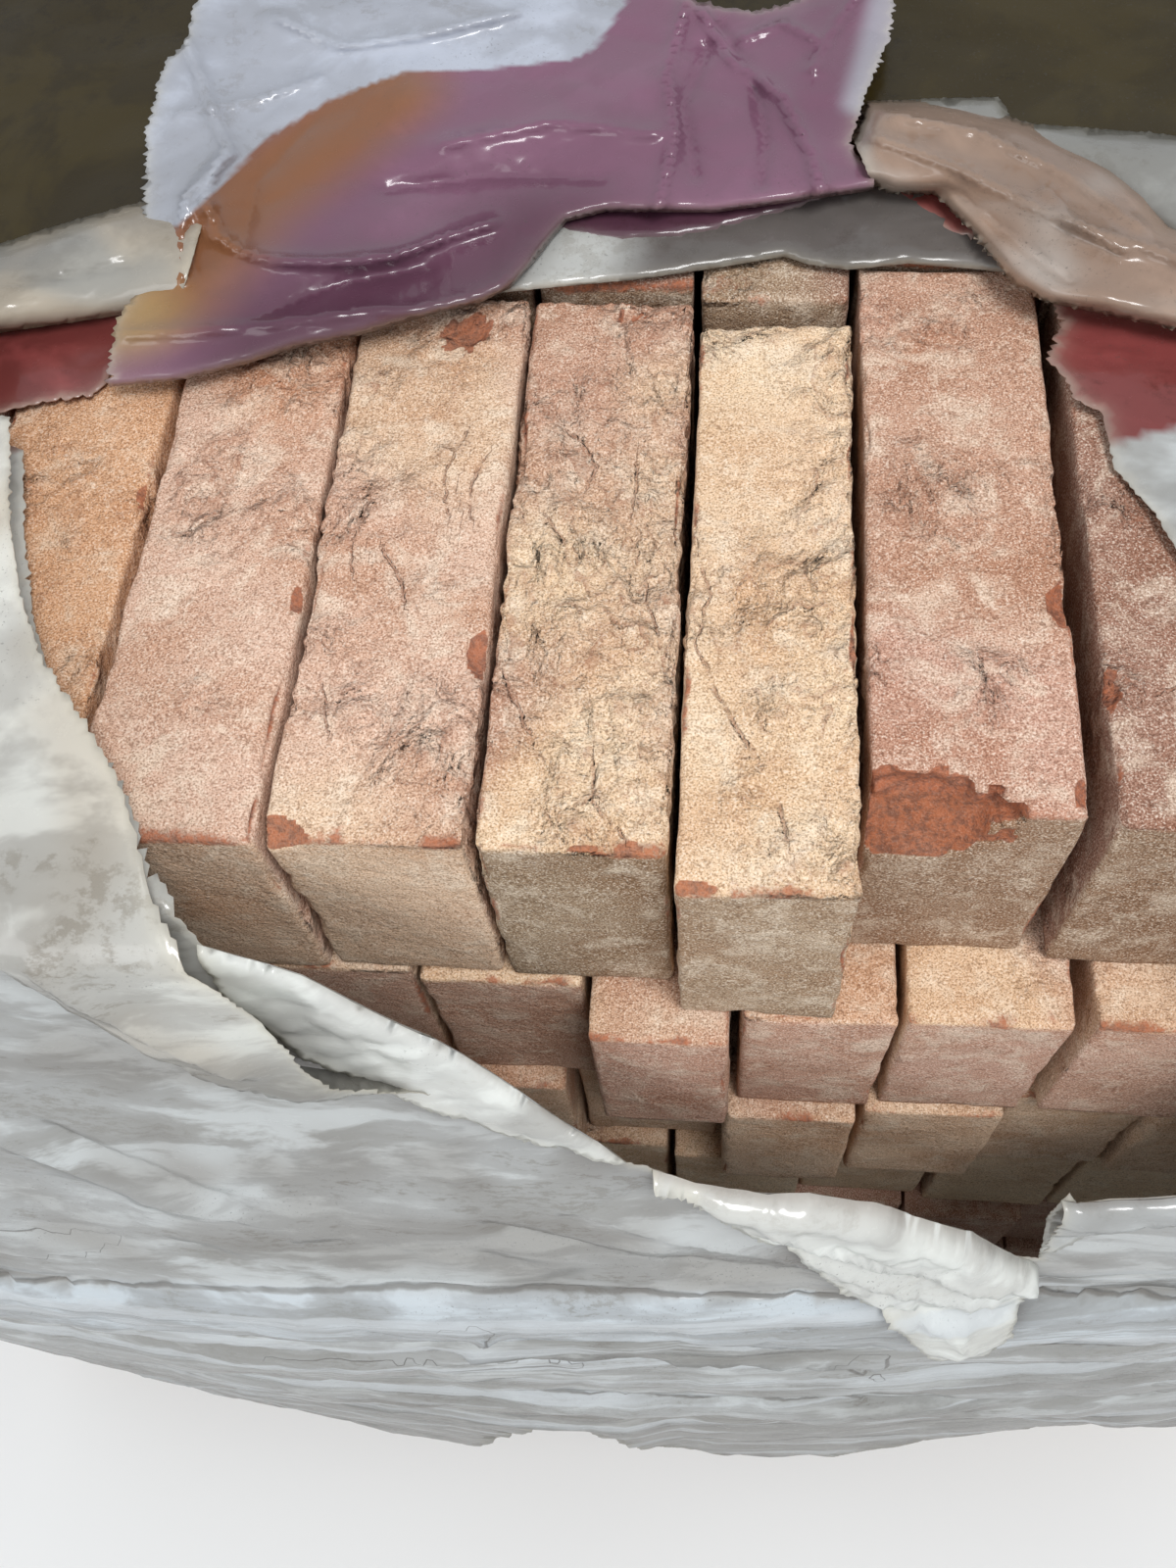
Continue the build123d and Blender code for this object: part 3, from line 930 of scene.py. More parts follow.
def filmMaterial(name, coat):
    material, tree, shader = newMaterial(name)
    place = objectPlace(tree)
    noise, relief = polytheneLook["noise"], polytheneLook["relief"]
    level = stretched(tree, place, polytheneLook["stretch"])
    tint = attribute(tree, "tint", True)
    # the attribute sets how little dirt and painted sheen the film shows
    dirtAndSheen = calculate(tree, "SUBTRACT", 1.0, attribute(tree, "lessDirtAndSheen"))
    smearStrength = calculate(tree, "MULTIPLY_ADD", dirtAndSheen, 0.75, 0.25)
    cloudy = noiseOn(tree, level, *noise["cloudy"])
    streaky = noiseOn(tree, level, *noise["streaky"])
    rub = noiseOn(tree, level, *noise["rub"])
    specks = noiseOn(tree, place, *noise["specks"])
    dirtAndShade = multiplied(tree, tint, polytheneLook["dirtAndShade"])
    sheenAndPaleDust = multiplied(tree, tint, polytheneLook["sheenAndPaleDust"])
    # darker clouds of dirt, then lighter streaky smears: painted reflections with some pale dust
    colour = over(tree, tint, dirtAndShade, times(tree, ramp(tree, cloudy, 0.56, 0.36), times(tree, dirtAndSheen, 0.65)))
    colour = over(tree, colour, sheenAndPaleDust, ramp(tree, streaky, 0.48, 0.60), smearStrength)
    rubbed = times(tree, ramp(tree, rub, 0.46, 0.60), ramp(tree, streaky, 0.47, 0.41))
    colour = over(tree, colour, dirtAndShade, rubbed, dirtAndSheen)
    speckled = times(tree, ramp(tree, specks, 0.60, 0.70), ramp(tree, cloudy, 0.50, 0.62))
    colour = over(tree, colour, polytheneLook["speck"], speckled, 0.45)
    # below the waist the film is pulled level, in streaks and tubes: painted highlights on the raised
    # streaks, and painted shade in the low ones
    pulled = noiseOn(tree, stretched(tree, place, polytheneLook["pulledStretch"]), *noise["pulled"])
    upwards = addNode(tree, "ShaderNodeSeparateXYZ", {"Vector": place}).outputs["Z"]
    low = ramp(tree, upwards, *polytheneLook["waist"])
    streakHighlight = times(tree, ramp(tree, pulled, 0.52, 0.58), low)
    colour = over(tree, colour, polytheneLook["streakHighlight"], streakHighlight, 0.65)
    dull = times(tree, ramp(tree, pulled, 0.46, 0.40), low)
    colour = over(tree, colour, dirtAndShade, dull, times(tree, smearStrength, 0.6))
    # creases stay crisp, because their distance is drawn and not their line; the dark colour laid in them is
    # painted shade
    offCrease = calculate(tree, "ABSOLUTE", shifted(tree, attribute(tree, "crease"), streaky, 4 * mm))
    inCrease = times(tree, ramp(tree, offCrease, 1.4 * mm, 0.2 * mm), ramp(tree, cloudy, 0.34, 0.46))
    colour = over(tree, colour, polytheneLook["crease"], inCrease, 0.6)
    tornTone = mixColour(tree, 0.6, tint, polytheneLook["tornEdge"])
    colour = over(tree, colour, tornTone, attribute(tree, "torn"), 0.6)
    ridges = addNode(tree, "ShaderNodeTexNoise", {"Vector": place, "Scale": 15.0, "Detail": 2.0},
                     noise_type="RIDGED_MULTIFRACTAL").outputs["Fac"]
    normal = bumpFrom(tree, rub, *relief["rub"])
    normal = bumpFrom(tree, noiseOn(tree, place, *noise["crinkle"]), *relief["crinkle"], normal)
    normal = bumpFrom(tree, ridges, *relief["ridges"], normal)
    normal = bumpFrom(tree, times(tree, pulled, low), *relief["pulled"], normal)
    normal = bumpFrom(tree, calculate(tree, "SUBTRACT", 1.0, inCrease), *relief["crease"], normal)
    feed(tree, shader, {"Base Color": colour, "Roughness": between(tree, rub, *polytheneLook["roughness"]),
                        "Specular IOR Level": polytheneLook["specular"], "Normal": normal,
                        "Coat Weight": coat, "Coat Roughness": polytheneLook["coatRoughness"]})
    # thin polythene lets light through to the bricks behind it
    glow = addNode(tree, "ShaderNodeBsdfTranslucent", {"Color": colour})
    inputs = {0: polytheneLook["letsThrough"], 1: shader.outputs["BSDF"], 2: glow.outputs["BSDF"]}
    blend = addNode(tree, "ShaderNodeMixShader", inputs)
    feed(tree, tree.nodes["Material Output"], {"Surface": blend.outputs["Shader"]})
    return material


filmFinish = filmMaterial("polythene_film", 0.6)
uncoatedFinish = filmMaterial("uncoated_film", 0.0)


def mixTone(colour, share, tone):
    share = np.clip(share, 0, 1)[:, None]
    return colour * (1 - share) + np.array(filmTones[tone]) * share


def plain(count, tone="white"):
    return np.tile(np.array(filmTones[tone]), (count, 1))


def clouded(flat, colour, tone, share, low, high, size, seed):
    # a second tone in soft clouds
    return mixTone(colour, ease(low, high, softNoise(lifted(flat), size * mm, seed)) * share, tone)


def creaseLines(flat, lines):
    # height added by the drawn creases, tent shaped: each is (points, height, half width)
    total = np.zeros(len(flat))
    for path, height, width in lines:
        total += height * mm * np.exp(-distanceToPath(flat, path) / (width * mm) * 1.6)
    return total


def shoulder(away, radius):
    # 0 on a fold line, and a round shoulder up to 1 at radius behind it
    return np.sqrt(np.clip(1 - (1 - np.clip(away / radius, 0, 1)) ** 2, 0, 1))


def facets(flat, size, seed):
    # crumpled film: level patches that meet in straight creases, 0 on a crease and 1 well inside a patch
    q = flat / size
    cell = np.floor(q).astype(np.int64)
    nearest = np.full(len(flat), 9.0)
    second = nearest.copy()
    for dx in (-1, 0, 1):
        for dy in (-1, 0, 1):
            x, y = cell[:, 0] + dx, cell[:, 1] + dy
            offX = x + latticeValue(x, y, 0, seed) - q[:, 0]
            away = np.hypot(offX, y + latticeValue(x, y, 1, seed) - q[:, 1])
            second = np.minimum(second, np.maximum(nearest, away))
            nearest = np.minimum(nearest, away)
    return 1 - np.exp(-(second - nearest) * 3.5)


def lifted(flat):
    return np.stack((flat[:, 0], flat[:, 1], np.zeros(len(flat))), 1)


def crumple(flat, size, seed):
    # creases in both directions on warped facets, from about -1 to 1
    at = lifted(flat)
    shift = np.stack((softNoise(at, size * 1.6, seed), softNoise(at, size * 1.6, seed + 1)), 1) * size * 0.45
    return facets(flat + shift, size, seed + 2) - facets(flat - shift, size * 1.7, seed + 3)


def crumples(flat, *layers):
    # creased relief, each layer as (height, size, seed) in millimetres
    return sum(height * mm * crumple(flat, size * mm, seed) for height, size, seed in layers)


# Lines of the front as (across, down) in millimetres: the fold of the wide pleat at the left, and the ragged
# ends of the edges that are turned outwards
collarFold = [(-300, -196), (-286, -150), (-262, -104), (-230, -62), (-192, -26), (-160, -6), (-145, 1),
              (-131, 7), (-120, 21), (-102, 44), (-85, 65), (-72, 74), (-49, 82), (-25, 91), (-7, 97)]
stripTorn = [(-72, 40), (-58, 71), (-46, 82), (-26, 98), (-8, 107), (8, 118), (25, 127), (40, 137)]
curlTorn = [(54, 150), (64, 152), (81, 172), (97, 186), (110, 208), (126, 232), (140, 254), (157, 278),
            (167, 298), (180, 306), (190, 300), (199, 284), (202, 258)]


# The front skirt: hangs from the top edge in front and round both corners, torn open in the middle
skirtLook = {
    "stations": (-483, -271, 0, 250, 483),
    "topBulge": (12, 16, 18, 14, 11),
    "waistBulge": (46, 76, 75, 54, 38),
    "hemBulge": (52, 92, 112, 98, 50),
    "waistDrop": 250 * mm,
    "hemDrop": 860 * mm,
    "cornerWrap": 120 * mm,
    "sideGap": 8 * mm,
    "rimRoll": 12 * mm,
    "waves": ((5, 170, 52), (2.0, 60, 53)),
    "crumples": ((1.6, 55, 201), (0.3, 17, 211)),
}
skirtCurves = {key: np.polyfit(inMetres(skirtLook["stations"]), inMetres(skirtLook[key]), 4)
               for key in ("topBulge", "waistBulge", "hemBulge")}

# level creases of the skirt as (across, down) points in millimetres, with the swelling between each two
skirtLines = [
    [(-480, 262), (-236, 264), (-148, 249), (-71, 247), (40, 245), (150, 259), (269, 285), (480, 302)],
    [(-480, 352), (-300, 356), (-226, 350), (-100, 345), (8, 343), (90, 353), (178, 363), (295, 376),
     (480, 392)],
    [(-480, 405), (-300, 402), (-170, 392), (-60, 392), (20, 396), (100, 408), (165, 424), (300, 440),
     (480, 455)],
    [(-480, 560), (-261, 540), (-168, 488), (-102, 503), (0, 508), (150, 520), (300, 560), (480, 590)],
    [(-480, 700), (-270, 700), (-142, 610), (14, 571), (84, 560), (214, 602), (400, 744), (480, 780)],
]
skirtSwells = [15 * mm, 9 * mm, 13 * mm, 12 * mm]
# short creases, pulls and folds with their height outwards and half width
skirtPulls = [
    ([(-226, 324), (-161, 335), (-120, 338)], -3, 5),
    ([(-40, 366), (17, 371), (86, 377), (156, 388)], 6, 7),
    ([(-33, 334), (-28, 310), (-22, 289)], 4, 5),
    ([(-300, 640), (-100, 650), (100, 640)], 6, 14),
    ([(-480, 120), (-330, 150), (-250, 200)], 5, 14),
    ([(300, 60), (330, 140), (300, 220)], 5, 12),
    ([(380, 30), (400, 130), (360, 230)], -5, 12),
    ([(-10, 190), (40, 215), (110, 238)], -4, 8),
    ([(-220, 100), (-140, 170), (-30, 214)], 4, 10),
    ([(-160, 130), (-90, 190), (0, 224)], -3, 8),
    ([(100, 190), (150, 220), (210, 262)], -4, 7),
    ([(20, 170), (80, 205), (140, 240)], 3, 7),
]
skirtThin = [[(-226, 324), (-161, 335), (-120, 338)], [(-33, 334), (-28, 310), (-22, 289)],
             [(140, 420), (153, 431), (158, 405), (160, 381)], [(-140, 408), (-60, 414), (0, 410)],
             [(-300, 224), (-240, 216), (-200, 214)]]


def skirtBulge(x, depth):
    x = np.clip(x, -packSide, packSide)
    upper = np.clip(depth / skirtLook["waistDrop"], 0, 1)
    lower = np.clip((depth - skirtLook["waistDrop"]) / (skirtLook["hemDrop"] - skirtLook["waistDrop"]), 0, 1)
    top, waist, hem = (np.polyval(skirtCurves[key], x) for key in ("topBulge", "waistBulge", "hemBulge"))
    return top + (waist - top) * upper + (hem - waist) * lower


def levelOf(line, across):
    # how deep a drawn level crease lies at each place across
    return np.interp(across, *inMetres(line).T)


def skirtSwell(flat):
    # the film swells between its level creases, each part up to a round tube
    x, depth = flat[:, 0], flat[:, 1]
    levels = [levelOf(line, x) for line in skirtLines]
    relief = np.zeros(len(flat))
    for upper, lower, height in zip(levels[:-1], levels[1:], skirtSwells):
        share = np.clip((depth - upper) / (lower - upper), 0, 1)
        relief += height * np.sqrt(np.maximum(1 - (2 * share - 1) ** 2, 0)) * (1 - 0.45 * share)
    return relief


def skirtFolds(flat):
    # outward relief of the hanging film: swellings, pulls, fine pleats and crumples
    at = lifted(flat)
    x, depth = flat[:, 0], flat[:, 1]
    relief = waves(at, *skirtLook["waves"]) + (skirtSwell(flat) + creaseLines(flat, skirtPulls))
    pleats = softNoise(at * (0.12, 1, 1), 16 * mm, 58) * ease(240 * mm, 300 * mm, depth)
    relief += 2.2 * mm * pleats
    relief += crumples(flat, *skirtLook["crumples"])
    onLedge = ease(14 * mm, 60 * mm, x) * (depth > 400 * mm)
    relief -= onLedge * 9 * mm * ease(-1.5 * mm, 1.5 * mm, depth - levelOf(skirtLines[4], x))
    return relief * ease(0, 50 * mm, depth)


def skirtPlace(flat, proud):
    # flat is (across, down from the pack's top); proud lifts the sheet off the skirt's own surface
    s, depth = flat[:, 0], flat[:, 1]
    half = packSide + skirtLook["sideGap"]
    down = np.maximum(depth, 0)
    beyond = np.maximum(np.abs(s) - half, 0)
    bulge = np.maximum(skirtBulge(s, down) + skirtFolds(flat) + proud, 5 * mm)
    y = packFront - bulge + beyond
    bow = (8 + 6 * np.clip(down / skirtLook["hemDrop"], 0, 1)) * mm
    ripple = waves(lifted(flat), (2.0, 50, 61)) * ease(0, 90 * mm, beyond)
    x = np.where(beyond > 0, np.sign(s) * (packSide + bow + ripple), s)
    # over the top edge
    back = np.maximum(-depth, 0)
    roll = np.exp(-back / skirtLook["rimRoll"])
    lift = 3.0 * mm + waves(lifted(flat), (1.6, 40, 62)) + crumples(flat, (0.7, 22, 221))
    yTop = packFront + back - (skirtBulge(s, down * 0) + proud) * roll
    zTop = packTop + (lift + proud) * (1 - roll) + 1.5 * mm * roll
    overTop = depth < 0
    return np.stack((x, np.where(overTop, yTop, y), np.where(overTop, zTop, packTop - down)), 1)


def laySkirt(flat):
    s, depth = flat[:, 0], flat[:, 1]
    colour = plain(len(flat))
    worldY = packFront - depth
    right = ease(165 * mm, 170 * mm, s) * (depth < 0)
    redLine = -291 * mm + (s - 192 * mm) * 0.33
    colour = mixTone(colour, right * ease(-1.0 * mm, 1.0 * mm, worldY - redLine), "red")
    left = ease(-130 * mm, -135 * mm, s) * (depth < 0)
    band = ease(-1.2 * mm, 1.2 * mm, worldY + 296 * mm) * ease(1.2 * mm, -1.2 * mm, worldY + 222 * mm)
    colour = mixTone(colour, left * band, "red")
    cloud = softNoise(lifted(flat) * (0.35, 1, 1), 44 * mm, 64) + 0.4 * softNoise(lifted(flat), 21 * mm, 66)
    first, second, third = (levelOf(skirtLines[i], s) for i in (0, 1, 3))
    below = depth > first
    colour = mixTone(colour, ease(-0.2, 0.5, cloud) * 0.6 * (depth > 0) * ~below, "greyBrown")
    # painted light: the tube below the waist crease is lighter and bluer, as the sky lights it
    colour = mixTone(colour, 0.7 * below * (depth < second), "skyLitWhite")
    colour = mixTone(colour, ease(0.1, 0.6, cloud) * 0.6 * (depth > second), "grey")
    # darker below the fourth level crease
    colour = mixTone(colour, 0.45 * ease(0, 60 * mm, depth - third), "greyBrown")
    # under the wide pleat and under the turned edges the film lies in shade
    for path, reach in ((collarFold, 8 * mm), (stripTorn, 5 * mm), (curlTorn, 7 * mm)):
        colour = mixTone(colour, 0.8 * np.exp(-distanceToPath(flat, path) / reach) * (depth > 0), "shade")
    lessDirtAndSheen = 0.7 * np.maximum(ease(300 * mm, 440 * mm, np.abs(s)), ease(560 * mm, 760 * mm, depth))
    crease = nearestLine(flat, skirtLines[:4] + skirtThin + [collarFold], 1.0)
    return skirtPlace(flat, 0), {"tint": colour, "crease": crease, "lessDirtAndSheen": lessDirtAndSheen}


# (across, down, tooth) from the back of the tear at the right, round its front and up the left
tornBay = [(230, -300, 0), (219, -206, 1.6), (197, -212, 2.0), (178, -218, 2.2), (181, -204, 2.4),
           (174, -188, 2.4), (180, -179, 2.4), (181, -171, 2.2), (190, -165, 2.2), (192, -143, 2.2),
           (201, -128, 2.2), (207, -110, 2.2), (228, -64, 2.0), (250, -8, 2.0), (256, 40, 2.0),
           (248, 110, 2.0), (236, 163, 0), (214, 166, 1.0), (203, 171, 1.6), (199, 162, 1.6),
           (197, 170, 1.6), (196, 186, 1.6), (200, 216, 1.6), (202, 234, 1.2), (192, 228, 0), (178, 211, 0),
           (158, 190, 0), (137, 171, 0), (124, 165, 0), (107, 157, 0), (88, 156, 0), (67, 153, 1.2),
           (54, 145, 1.2), (43, 139, 0), (10, 91, 0), (-24, 55, 0), (-49, 29, 0), (-75, 14, 1.6),
           (-79, 0, 2.0), (-88, -5, 2.0), (-102, -23, 2.0), (-119, -41, 2.0), (-133, -56, 2.0),
           (-144, -77, 2.0), (-155, -108, 2.0), (-166, -147, 2.2), (-177, -151, 2.2), (-181, -164, 2.2),
           (-164, -170, 2.2), (-149, -173, 2.0), (-145, -179, 0), (-143, -300, 0)]
# the lower edge from the left to the right, which dips and rises where the film is folded under
hemLine = [(-483, 842), (-400, 846), (-329, 856), (-228, 862), (-165, 870), (-110, 876), (-104, 868),
           (-57, 737), (-40, 700), (-12, 690), (10, 760), (26, 820), (60, 843), (111, 872), (163, 868),
           (207, 835), (276, 809), (319, 790), (405, 800), (483, 812)]


def skirtOutline():
    half = packSide + skirtLook["sideGap"]
    wrap = half + skirtLook["cornerWrap"]
    back = -300 * mm
    corners = edge(tornBay)
    corners += [(-half, back, 0), (-half, 0, 0), (-wrap, 0, 0), (-wrap, 834 * mm, 1.0 * mm)]
    corners += edge(hemLine, 1.0)
    return corners + [(wrap, 828 * mm, 0), (wrap, 0, 0), (half, 0, 0), (half, back, 0)]


skirtZones = [(3.2 * mm, (-215, -260), (300, 210)), (5.2 * mm, (-330, -260), (330, 640)), (12 * mm,)]
filmSheet("film_skirt", skirtOutline(), laySkirt, skirtZones, 3)


# A wide pleat of the skirt that comes over from the top at the left and is folded under along its lower side
collarLook = {
    "proud": 15 * mm,
    "edgeRoll": 6 * mm,
    "creases": [([(-190, -60), (-140, -20), (-110, 8), (-70, 50)], 5, 9),
                ([(-230, -90), (-180, -60), (-150, -30), (-120, 0)], -4, 9),
                ([(-160, -120), (-140, -80), (-110, -40)], 3, 6)],
}
collarTorn = [(-7, 94), (-15, 91), (-24, 88), (-43, 72), (-52, 54), (-53, 44), (-59, 24), (-66, 8),
              (-74, -1), (-84, -6), (-98, -22), (-115, -40), (-130, -56), (-141, -77), (-152, -108),
              (-163, -146), (-176, -150)]


def layCollar(flat):
    toFold = distanceToPath(flat, collarFold)
    rolled = np.sqrt(np.clip(toFold / collarLook["edgeRoll"], 0, 1))
    toTip = ease(0, 60 * mm, np.hypot(flat[:, 0] + 7 * mm, flat[:, 1] - 97 * mm))
    proud = 1.5 * mm + collarLook["proud"] * rolled * toTip
    proud += creaseLines(flat, collarLook["creases"]) * rolled
    proud += crumples(flat, (0.8, 20, 231)) * rolled
    colour = plain(len(flat), "milk")
    cloud = layered(lifted(flat), (1.0, 34, 65), (0.4, 13, 67))
    colour = mixTone(colour, 0.15 + 0.5 * ease(-0.3, 0.5, cloud), "warm")
    # darker near the fold, and further down
    colour = mixTone(colour, 0.3 * ease(46 * mm, 10 * mm, toFold), "greyBrown")
    colour = mixTone(colour, 0.85 * ease(30 * mm, 75 * mm, flat[:, 1]), "grey")
    return skirtPlace(flat, proud), {"tint": colour}


collarOutline = edge(collarFold) + edge(collarTorn, 2.0) + edge([(-190, -200)])
filmSheet("film_pleat_left", collarOutline, layCollar, [(2.6 * mm,)], 13)


# Torn edges of the skirt that are turned over outwards
def turnedEdge(name, foldLine, low, proudest, tooth, seed, tone, creases=()):
    # foldLine runs along the skirt's edge, low is the ragged end of the turned part, left to right
    top = [(x, depth - 0.8) for x, depth in foldLine]

    def layTurned(flat):
        fromTop, fromLow = distanceToPath(flat, top), distanceToPath(flat, low)
        across = fromTop / np.maximum(fromTop + fromLow, 1e-6)
        roll = shoulder(fromTop, 7 * mm)
        proud = 0.6 * mm + proudest * mm * roll * (1 - 0.5 * across)
        proud += creaseLines(flat, creases) * roll
        proud += crumples(flat, (0.9, 14, seed)) * roll
        colour = clouded(flat, plain(len(flat), tone), "greyBrown", 0.3, 0.1, 0.6, 22, seed)
        return skirtPlace(flat, proud), {"tint": colour, "lessDirtAndSheen": np.full(len(flat), 0.7)}

    corners = edge(top) + edge(reversed(low), tooth)
    filmSheet(name, corners, layTurned, [(2.4 * mm,)], seed)


turnedEdge("film_edge_turned", [(-76, 13), (-49, 29), (-24, 55), (10, 91), (43, 139)],
           stripTorn, 4, 1.2, 17, "pale")
turnedEdge("film_curled_flap",
           [(52, 144), (59, 147), (67, 152), (88, 155), (107, 156), (124, 164), (137, 170), (158, 189),
            (178, 210), (192, 227), (203, 240)],
           curlTorn, 12, 2.0, 19, "pale",
           [([(96, 168), (140, 205), (185, 232)], 4, 5), ([(110, 200), (150, 235), (188, 252)], 4, 5),
            ([(120, 184), (160, 222), (190, 244)], -3, 4), ([(130, 226), (160, 262), (184, 284)], 3, 4),
            ([(150, 182), (155, 230), (160, 270)], -2, 3), ([(170, 205), (178, 250), (178, 290)], 2, 4)])
turnedEdge("film_right_turn",
           [(197, 168), (203, 170), (214, 167), (236, 164), (262, 160), (300, 140)],
           [(200, 214), (214, 196), (236, 182), (262, 178), (300, 160)],
           6, 1.6, 23, "white", [([(205, 176), (225, 176), (250, 170)], 3, 4)])


# The rest of the hood: sides and back. The folds that run level round them are (depth, height, half width)
wallLook = {
    "gap": 2 * mm,
    "start": 60 * mm,
    "stand": 6 * mm,
    "least": 3 * mm,
    "most": 22 * mm,
    "folds": ((110, 3, 7), (255, 5, 8), (272, -4, 6), (410, 4, 9), (600, 5, 12), (740, 4, 14)),
    "waves": ((4, 150, 71), (1.6, 50, 72)),
    "crumples": ((1.2, 60, 241), (0.5, 24, 251)),
    "hemDepth": 826,
    "hemWave": 14,
    "hemSpans": 16,
}


def layWalls(flat):
    # the sheet runs round the back, from the left side to the right one
    s, depth = flat[:, 0], flat[:, 1]
    half, back = packSide + wallLook["gap"], packBack + wallLook["gap"]
    front = packFront + wallLook["start"]
    sideLength = back - front
    onLeft, onRight = s < sideLength, s >= sideLength + 2 * half
    x = np.where(onLeft, -half, np.where(onRight, half, s - sideLength - half))
    y = np.where(onLeft, front + s, np.where(onRight, back - (s - sideLength - 2 * half), back))
    at = lifted(flat)
    out = wallLook["stand"] * (1 + np.clip(depth / skirtLook["hemDrop"], 0, 1))
    out += waves(at, *wallLook["waves"]) * ease(0, 60 * mm, depth)
    level = depth + waves(at * (1, 0.2, 1), (14, 200, 73))
    for fall, height, width in wallLook["folds"]:
        out += height * mm * np.exp(-np.abs(level - fall * mm) / (width * mm))
    out += crumples(flat, *wallLook["crumples"])
    out = np.clip(out, wallLook["least"], wallLook["most"])
    nearBack = np.minimum(np.abs(s - sideLength), np.abs(s - sideLength - 2 * half))
    corner = np.exp(-nearBack / (12 * mm)) * (nearBack < 40 * mm)
    x = x + np.where(onLeft, -out, np.where(onRight, out, np.sign(x) * corner * out * 0.6))
    y = y + np.where(onLeft | onRight, corner * out * 0.6, out)
    streaks = ease(0.0, 0.5, softNoise(at * (0.25, 1, 1), 50 * mm, 75))
    colour = mixTone(plain(len(flat)), streaks * 0.4, "greyBrown")
    return np.stack((x, y, packTop - depth), 1), {"tint": colour, "lessDirtAndSheen": np.full(len(flat), 0.85)}


def wallOutline():
    total = 2 * (packBack - packFront - 58 * mm) + 2 * (packSide + wallLook["gap"])
    spans, hemDepth = wallLook["hemSpans"], wallLook["hemDepth"]
    hem = [(total * i / spans, (hemDepth + wallLook["hemWave"] * math.sin(i * 2.1)) * mm, 1.0 * mm)
           for i in range(spans)]
    return hem + [(total, hemDepth * mm, 0), (total, -2 * mm, 0), (0, -2 * mm, 0)]


filmSheet("film_sides_and_back", wallOutline(), layWalls, [(16 * mm,)], 5)


# The top behind the tear, dark olive near its torn front edge and grey further back
coverLook = {
    "overhang": 7 * mm,
    "frontEdge": -215 * mm,
    "lowest": 2 * mm,
    "waves": ((2.2, 120, 81), (0.8, 40, 82)),
    "crumples": ((0.5, 45, 261),),
}


def layCover(flat):
    x, y = flat[:, 0], flat[:, 1]
    at = lifted(flat)
    lift = 4.7 * mm + waves(at, *coverLook["waves"]) + crumples(flat, *coverLook["crumples"])
    overhang = coverLook["overhang"]
    toRim = np.minimum(packSide + overhang - np.abs(x), packBack + overhang - y)
    lift = coverLook["lowest"] + lift * ease(0, 30 * mm, toRim)
    away = y + waves(at, (60, 150, 83), (20, 50, 84))
    colour = mixTone(plain(len(flat), "olive"), ease(10 * mm, 200 * mm, away) * 0.75, "grey")
    return np.stack((x, y, packTop + lift), 1), {"tint": colour}


def coverOutline():
    half, back = packSide + coverLook["overhang"], packBack + coverLook["overhang"]
    front = coverLook["frontEdge"]
    corners = [(-half, front, 0), (-150 * mm, front, 0)]
    corners += edge([(-140, -200), (0, -185), (110, -130), (225, -170)])
    return corners + [(half, front, 0), (half, back, 0), (-half, back, 0)]


coverZones = [(5 * mm, (-260, -220), (250, -20)), (15 * mm,)]
filmSheet("film_top", coverOutline(), layCover, coverZones, 7, uncoatedFinish)


# Loose parts of the hood on top, in millimetres. Their outlines are plan points as they look at the height of
# the pack's top, and each point is lifted along the line of sight. A look holds the outline as runs of points
# with their tooth, the folded edges with the radius of their roll, the lift at a fold (base) and how much it
# rises behind it, and the relief: waves and crumples, and creases as (points, height, half width)
def looseLift(flat, look):
    roll = np.ones(len(flat))
    for line, radius in look["rolls"]:
        roll = roll * shoulder(distanceToPath(flat, line), radius * mm)
    relief = creaseLines(flat, look.get("creases", ()))
    relief += waves(lifted(flat), *look.get("waves", ())) + crumples(flat, *look.get("crumples", ()))
    if look.get("flatAtRolls", True):
        relief *= roll
    relief += creaseLines(flat, look.get("grooves", ()))
    return np.maximum(look["base"] * mm + look["rise"] * mm * roll + relief, 1.0 * mm)


def looseSheet(name, look, toneOf=None, lessDirtAndSheenOf=None):
    gather = look.get("gather", 1.0)  # how much longer and wider the film is than its place

    def layLoose(cutFlat):
        flat = cutFlat / gather
        lift = looseLift(flat, look)
        x, y = seenFrom(flat[:, 0], flat[:, 1], lift)
        colour = toneOf(flat) if toneOf else plain(len(flat), look["tone"])
        if "clouds" in look:
            colour = clouded(flat, colour, *look["clouds"])
        lessDirtAndSheen = lessDirtAndSheenOf(flat) if lessDirtAndSheenOf else np.full(len(flat), 0.5)
        return np.stack((x, y, packTop + lift), 1), {"tint": colour, "lessDirtAndSheen": lessDirtAndSheen}

    corners = [corner for points, tooth in look["outline"] for corner in edge(points, tooth, gather)]
    filmSheet(name, corners, layLoose, [(look["spacing"] * mm * gather,)],
              look["seed"])


# The printed flap, folded back over the top
flapFold = [(-145, -264), (-121, -261), (-97, -253), (-82, -246), (-60, -240), (-30, -228), (-18, -224),
            (-8, -217), (1, -201), (6, -190), (10, -183), (24, -178), (64, -179), (102, -172), (121, -168)]
flapRight = [(122, -156), (115, -151), (113, -143), (115, -134), (119, -116), (124, -100), (129, -82),
             (132, -63), (131, -45), (120, -40), (100, -52)]
flapBack = [(88, -59), (77, -63), (65, -60), (51, -54), (24, -34), (-79, -9), (-150, -12)]
flapLeft = [(-157, -46), (-159, -51), (-157, -74), (-162, -84), (-164, -97), (-162, -111), (-162, -127),
            (-159, -143), (-155, -161), (-152, -178), (-149, -187), (-141, -195), (-140, -206),
            (-145, -208), (-143, -215), (-146, -219), (-150, -233), (-149, -241), (-147, -252)]
flapEnds = {"dark": flapFold[3:9], "orange": [(-135, -215), (-115, -170), (-70, -110)],
            "margin": [(129, -60), (124, -90), (118, -120)]}
